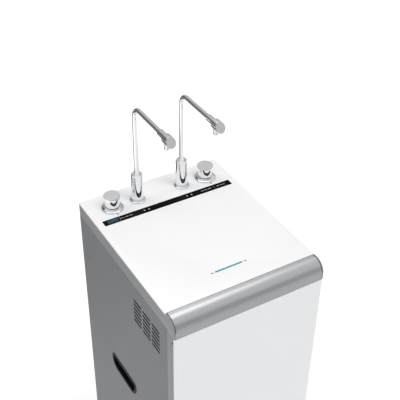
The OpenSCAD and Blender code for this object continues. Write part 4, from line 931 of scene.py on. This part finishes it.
class PURIFIER_OT_top_marks(Operator):
    """Set the lens over the light bar, and print its dashes and the ticks in front of the knobs"""

    bl_idname = "purifier.top_marks"
    bl_label = "Top marks"

    def execute(self, context):
        finish = context.scene.purifier_finish
        detail = context.scene.purifier_detail
        low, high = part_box("led_bar")
        bar_y, top = (low[1] + high[1]) / 2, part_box("top_panel")[1][2]
        dash_x = high[0] + detail.dash_gap + detail.dash / 2
        knob_x = middle("knob_disc_right").x
        tick_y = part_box("knob_rings")[0][1] - detail.tick_l / 2
        dashes, ticks, lens = bmesh.new(), bmesh.new(), bmesh.new()
        for side in (-1, 1):
            bar(dashes, (side * dash_x, bar_y, top), (detail.dash, detail.dash_w, detail.print_t))
            bar(ticks, (side * knob_x, tick_y, top), (detail.tick_w, detail.tick_l, detail.print_t))
        # Ink: flat films, one dark and one grey
        piece("light_dashes", dashes, "cabinet", printed("dark_ink", finish.dash))
        piece("knob_ticks", ticks, "cabinet", printed("grey_ink", finish.tick))
        bar(lens, (0, bar_y, top), (high[0] - low[0], detail.lens_w, detail.lens_t))
        ends = [e for e in lens.edges
                if abs(e.verts[0].co.z - e.verts[1].co.z) > detail.lens_t / 2]
        rounded(lens, ends, detail.lens_w * HALF_ROUND, segments=6)
        piece("light_lens", lens, "cabinet", bpy.data.materials["lit_acrylic"])
        return {"FINISHED"}


class PURIFIER_OT_fasteners(Operator):
    """Set the screws of the rear panel, the side panels and the filter bracket"""

    bl_idname = "purifier.fasteners"
    bl_label = "Fasteners"

    def execute(self, context):
        # Zinc plate: bright grey with tool marks
        steel = machined("zinc_screw_steel", linear("#A9ACB0"), roughness=0.35)
        # Powder coat: the grey of the panels that the screws hold
        coated = powder_coat("coated_screw_steel", context.scene.purifier_finish.side)
        low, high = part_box("rear_panel")
        heights = [low[2] + (high[2] - low[2]) * share for share in REAR_ROWS]
        sides = (low[0] + REAR_INSET, high[0] - REAR_INSET)
        places = [(x, high[1], z) for x in sides for z in heights]
        screws("rear_screws", steel, places, (0, 1, 0))
        low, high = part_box("side_panel_right")
        rows, y = (low[2] + SIDE_LOW, high[2] - SIDE_HIGH), high[1] - SIDE_INSET
        for name, side in (("side_screws_left", -1), ("side_screws_right", 1)):
            screws(name, coated, [(side * high[0], y, z) for z in rows], (side, 0, 0))
        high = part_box("filter_bracket")[1]
        places = [(x, high[1] - BRACKET_T, high[2] - BRACKET_DROP) for x in BRACKET_X]
        screws("bracket_screws", steel, places, (0, -1, 0))
        return {"FINISHED"}


class PURIFIER_OT_switch_marks(Operator):
    """Print a line and a dot on each rocker"""

    bl_idname = "purifier.switch_marks"
    bl_label = "Switch marks"

    def execute(self, context):
        print_t = context.scene.purifier_detail.print_t
        film = Vector((0, print_t, 0))
        # Ink: a pale, flat film
        ink = printed("pale_switch_ink", context.scene.purifier_finish.mark)
        for node in ("rocker_hot", "rocker_cold"):
            low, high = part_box(node)
            quarter = Vector((0, 0, (high[2] - low[2]) / 4))
            face = middle(node)
            face.y = high[1]
            bm = bmesh.new()
            bar(bm, face + quarter, (SWITCH_W, print_t, SWITCH_L))
            dot = face - quarter
            rod(bm, dot - film / 2, dot + film / 2, SWITCH_R)
            piece(node + "_marks", bm, node, ink)
        return {"FINISHED"}


class PURIFIER_OT_stage(Operator):
    """Set up the floor, the lamps, the cards and the camera"""

    bl_idname = "purifier.stage"
    bl_label = "Stage"

    def execute(self, context):
        stage = context.scene.purifier_stage
        context.scene.view_settings.view_transform = "Standard"
        self.floor(stage)
        self.sky(context.scene, stage)
        self.lamps(context.scene, stage)
        self.cards()
        self.camera(context.scene, stage)
        return {"FINISHED"}

    def seen(self, tree):
        """One for rays from the camera, or that a mirror or glass passes on."""
        path = add(tree, "LightPath")
        pair = {0: path["Is Camera Ray"], 1: path["Is Glossy Ray"]}
        either = add(tree, "Math", pair, operation="MAXIMUM")["Value"]
        trio = {0: either, 1: path["Is Transmission Ray"]}
        return add(tree, "Math", trio, operation="MAXIMUM")["Value"]

    def floor(self, stage):
        """A pale paper floor that looks white where no shadow falls."""
        material, tree, surface = blank("pale_paper")
        lift = {0: self.seen(tree), 1: stage.floor}
        feed(tree, surface, {
            "Base Color": shade(tree, speckle(tree, grain_mm=400.0), linear("#F2F2F2"), depth=0.02),
            "Roughness": 0.9,
            "Emission Color": (1, 1, 1, 1),
            "Emission Strength": add(tree, "Math", lift, operation="MULTIPLY")["Value"]})
        bm = bmesh.new()
        bmesh.ops.create_grid(bm, x_segments=1, y_segments=1, size=FLOOR_REACH)
        built("floor", bm, material)

    def sky(self, scene, stage):
        """Soft light from all round, which the camera and mirrors see as white."""
        world = bpy.data.worlds.new("studio")
        world.use_nodes = True
        tree = world.node_tree
        tree.nodes.clear()
        span = {"Value": self.seen(tree), "To Min": stage.sky, "To Max": 1.0}
        strength = add(tree, "MapRange", span)["Result"]
        backdrop = add(tree, "Background", {"Color": (1, 1, 1, 1), "Strength": strength})
        add(tree, "OutputWorld", {"Surface": backdrop["Background"]})
        scene.world = world

    def lamp(self, scene, name, kind, energy, turn):
        """Adds a lamp that mirrors don't see."""
        light = bpy.data.lights.new(name, kind)
        light.energy = energy
        obj = bpy.data.objects.new(name, light)
        obj.rotation_euler = turn
        obj.visible_glossy = False
        scene.collection.objects.link(obj)
        return obj

    def lamps(self, scene, stage):
        """A wide key above on the right, a weaker one behind and a softbox, both on the left."""
        for name, tilt in SUNS:
            turn = [math.radians(degrees) for degrees in tilt]
            self.lamp(scene, name, "SUN", getattr(stage, name), turn).data.angle = SUN_ANGLE
        aim = Vector(SOFTBOX_AIM) - Vector(SOFTBOX_AT)
        turn = aim.to_track_quat("-Z", "Y").to_euler()
        softbox = self.lamp(scene, "fill", "AREA", stage.fill, turn)
        softbox.location = SOFTBOX_AT
        softbox.data.size = SOFTBOX_SIZE

    def card_face(self, name, strength):
        """A glowing face that fades to clear towards its edges."""
        material = bpy.data.materials.new(name)
        material.use_nodes = True
        tree = material.node_tree
        tree.nodes.clear()
        pair = {0: add(tree, "TexCoord")["UV"], 1: (0.5, 0.5, 0.0)}
        away = add(tree, "VectorMath", pair, operation="DISTANCE")["Value"]
        fade = {"Value": away, "From Min": CARD_FADE[0], "From Max": CARD_FADE[1],
                "To Min": 1.0, "To Max": 0.0}
        solid = add(tree, "MapRange", fade, interpolation_type="SMOOTHSTEP")["Result"]
        clear = add(tree, "BsdfTransparent")["BSDF"]
        glow = add(tree, "Emission", {"Strength": strength})["Emission"]
        face = add(tree, "MixShader", {0: solid, 1: clear, 2: glow})["Shader"]
        add(tree, "OutputMaterial", {"Surface": face})
        return material

    def cards(self):
        """Cards that only mirrors see: dark ones edge the chrome, a bright one lights the trim."""
        for name, centre, wide, high, tilt, strength in CARDS:
            shape = (Matrix.Translation(centre) @ Matrix.Rotation(math.radians(tilt), 4, "X")
                     @ Matrix.Diagonal((wide, high, 1.0, 1.0)))
            bm = bmesh.new()
            bm.loops.layers.uv.new("UVMap")
            bmesh.ops.create_grid(
                bm, x_segments=1, y_segments=1, size=0.5, matrix=shape, calc_uvs=True)
            card = built(name, bm, self.card_face(name, strength))
            card.visible_camera = card.visible_diffuse = card.visible_shadow = False
            card.visible_transmission = card.visible_volume_scatter = False

    def camera(self, scene, stage):
        """The photograph's viewpoint."""
        camera = bpy.data.cameras.new("camera")
        camera.lens = stage.lens
        camera.sensor_width = 36.0
        camera.clip_start, camera.clip_end = 0.05, 50.0
        eye = bpy.data.objects.new("camera", camera)
        turn = (Matrix.Rotation(stage.heading, 4, "Z")
                @ Matrix.Rotation(math.pi / 2 - stage.dip, 4, "X")
                @ Matrix.Rotation(stage.roll, 4, "Z"))
        eye.matrix_world = Matrix.Translation(stage.eye) @ turn
        scene.collection.objects.link(eye)
        scene.camera = eye


class PURIFIER_PT_build(Panel):
    """Lists the steps that dress the purifier."""

    bl_idname = "PURIFIER_PT_build"
    bl_label = "Water purifier"
    bl_space_type = "VIEW_3D"
    bl_region_type = "UI"
    bl_category = "Purifier"

    def draw(self, context):
        for step in STEPS:
            self.layout.operator(step.bl_idname)


STEPS = (
    PURIFIER_OT_finishes,
    PURIFIER_OT_mouldings,
    PURIFIER_OT_knobs,
    PURIFIER_OT_seals,
    PURIFIER_OT_tubes,
    PURIFIER_OT_strip_marks,
    PURIFIER_OT_top_marks,
    PURIFIER_OT_fasteners,
    PURIFIER_OT_switch_marks,
    PURIFIER_OT_stage,
)
GROUPS = {
    "purifier_finish": FinishSettings,
    "purifier_detail": DetailSettings,
    "purifier_stage": StageSettings,
}


def register():
    for cls in (*GROUPS.values(), *STEPS, PURIFIER_PT_build):
        bpy.utils.register_class(cls)
    for name, group in GROUPS.items():
        setattr(bpy.types.Scene, name, PointerProperty(type=group))


def unregister():
    for name in GROUPS:
        delattr(bpy.types.Scene, name)
    for cls in reversed((*GROUPS.values(), *STEPS, PURIFIER_PT_build)):
        bpy.utils.unregister_class(cls)


def main():
    register()
    for step in STEPS:
        group, name = step.bl_idname.split(".")
        getattr(getattr(bpy.ops, group), name)()


if __name__ == "__main__":
    main()
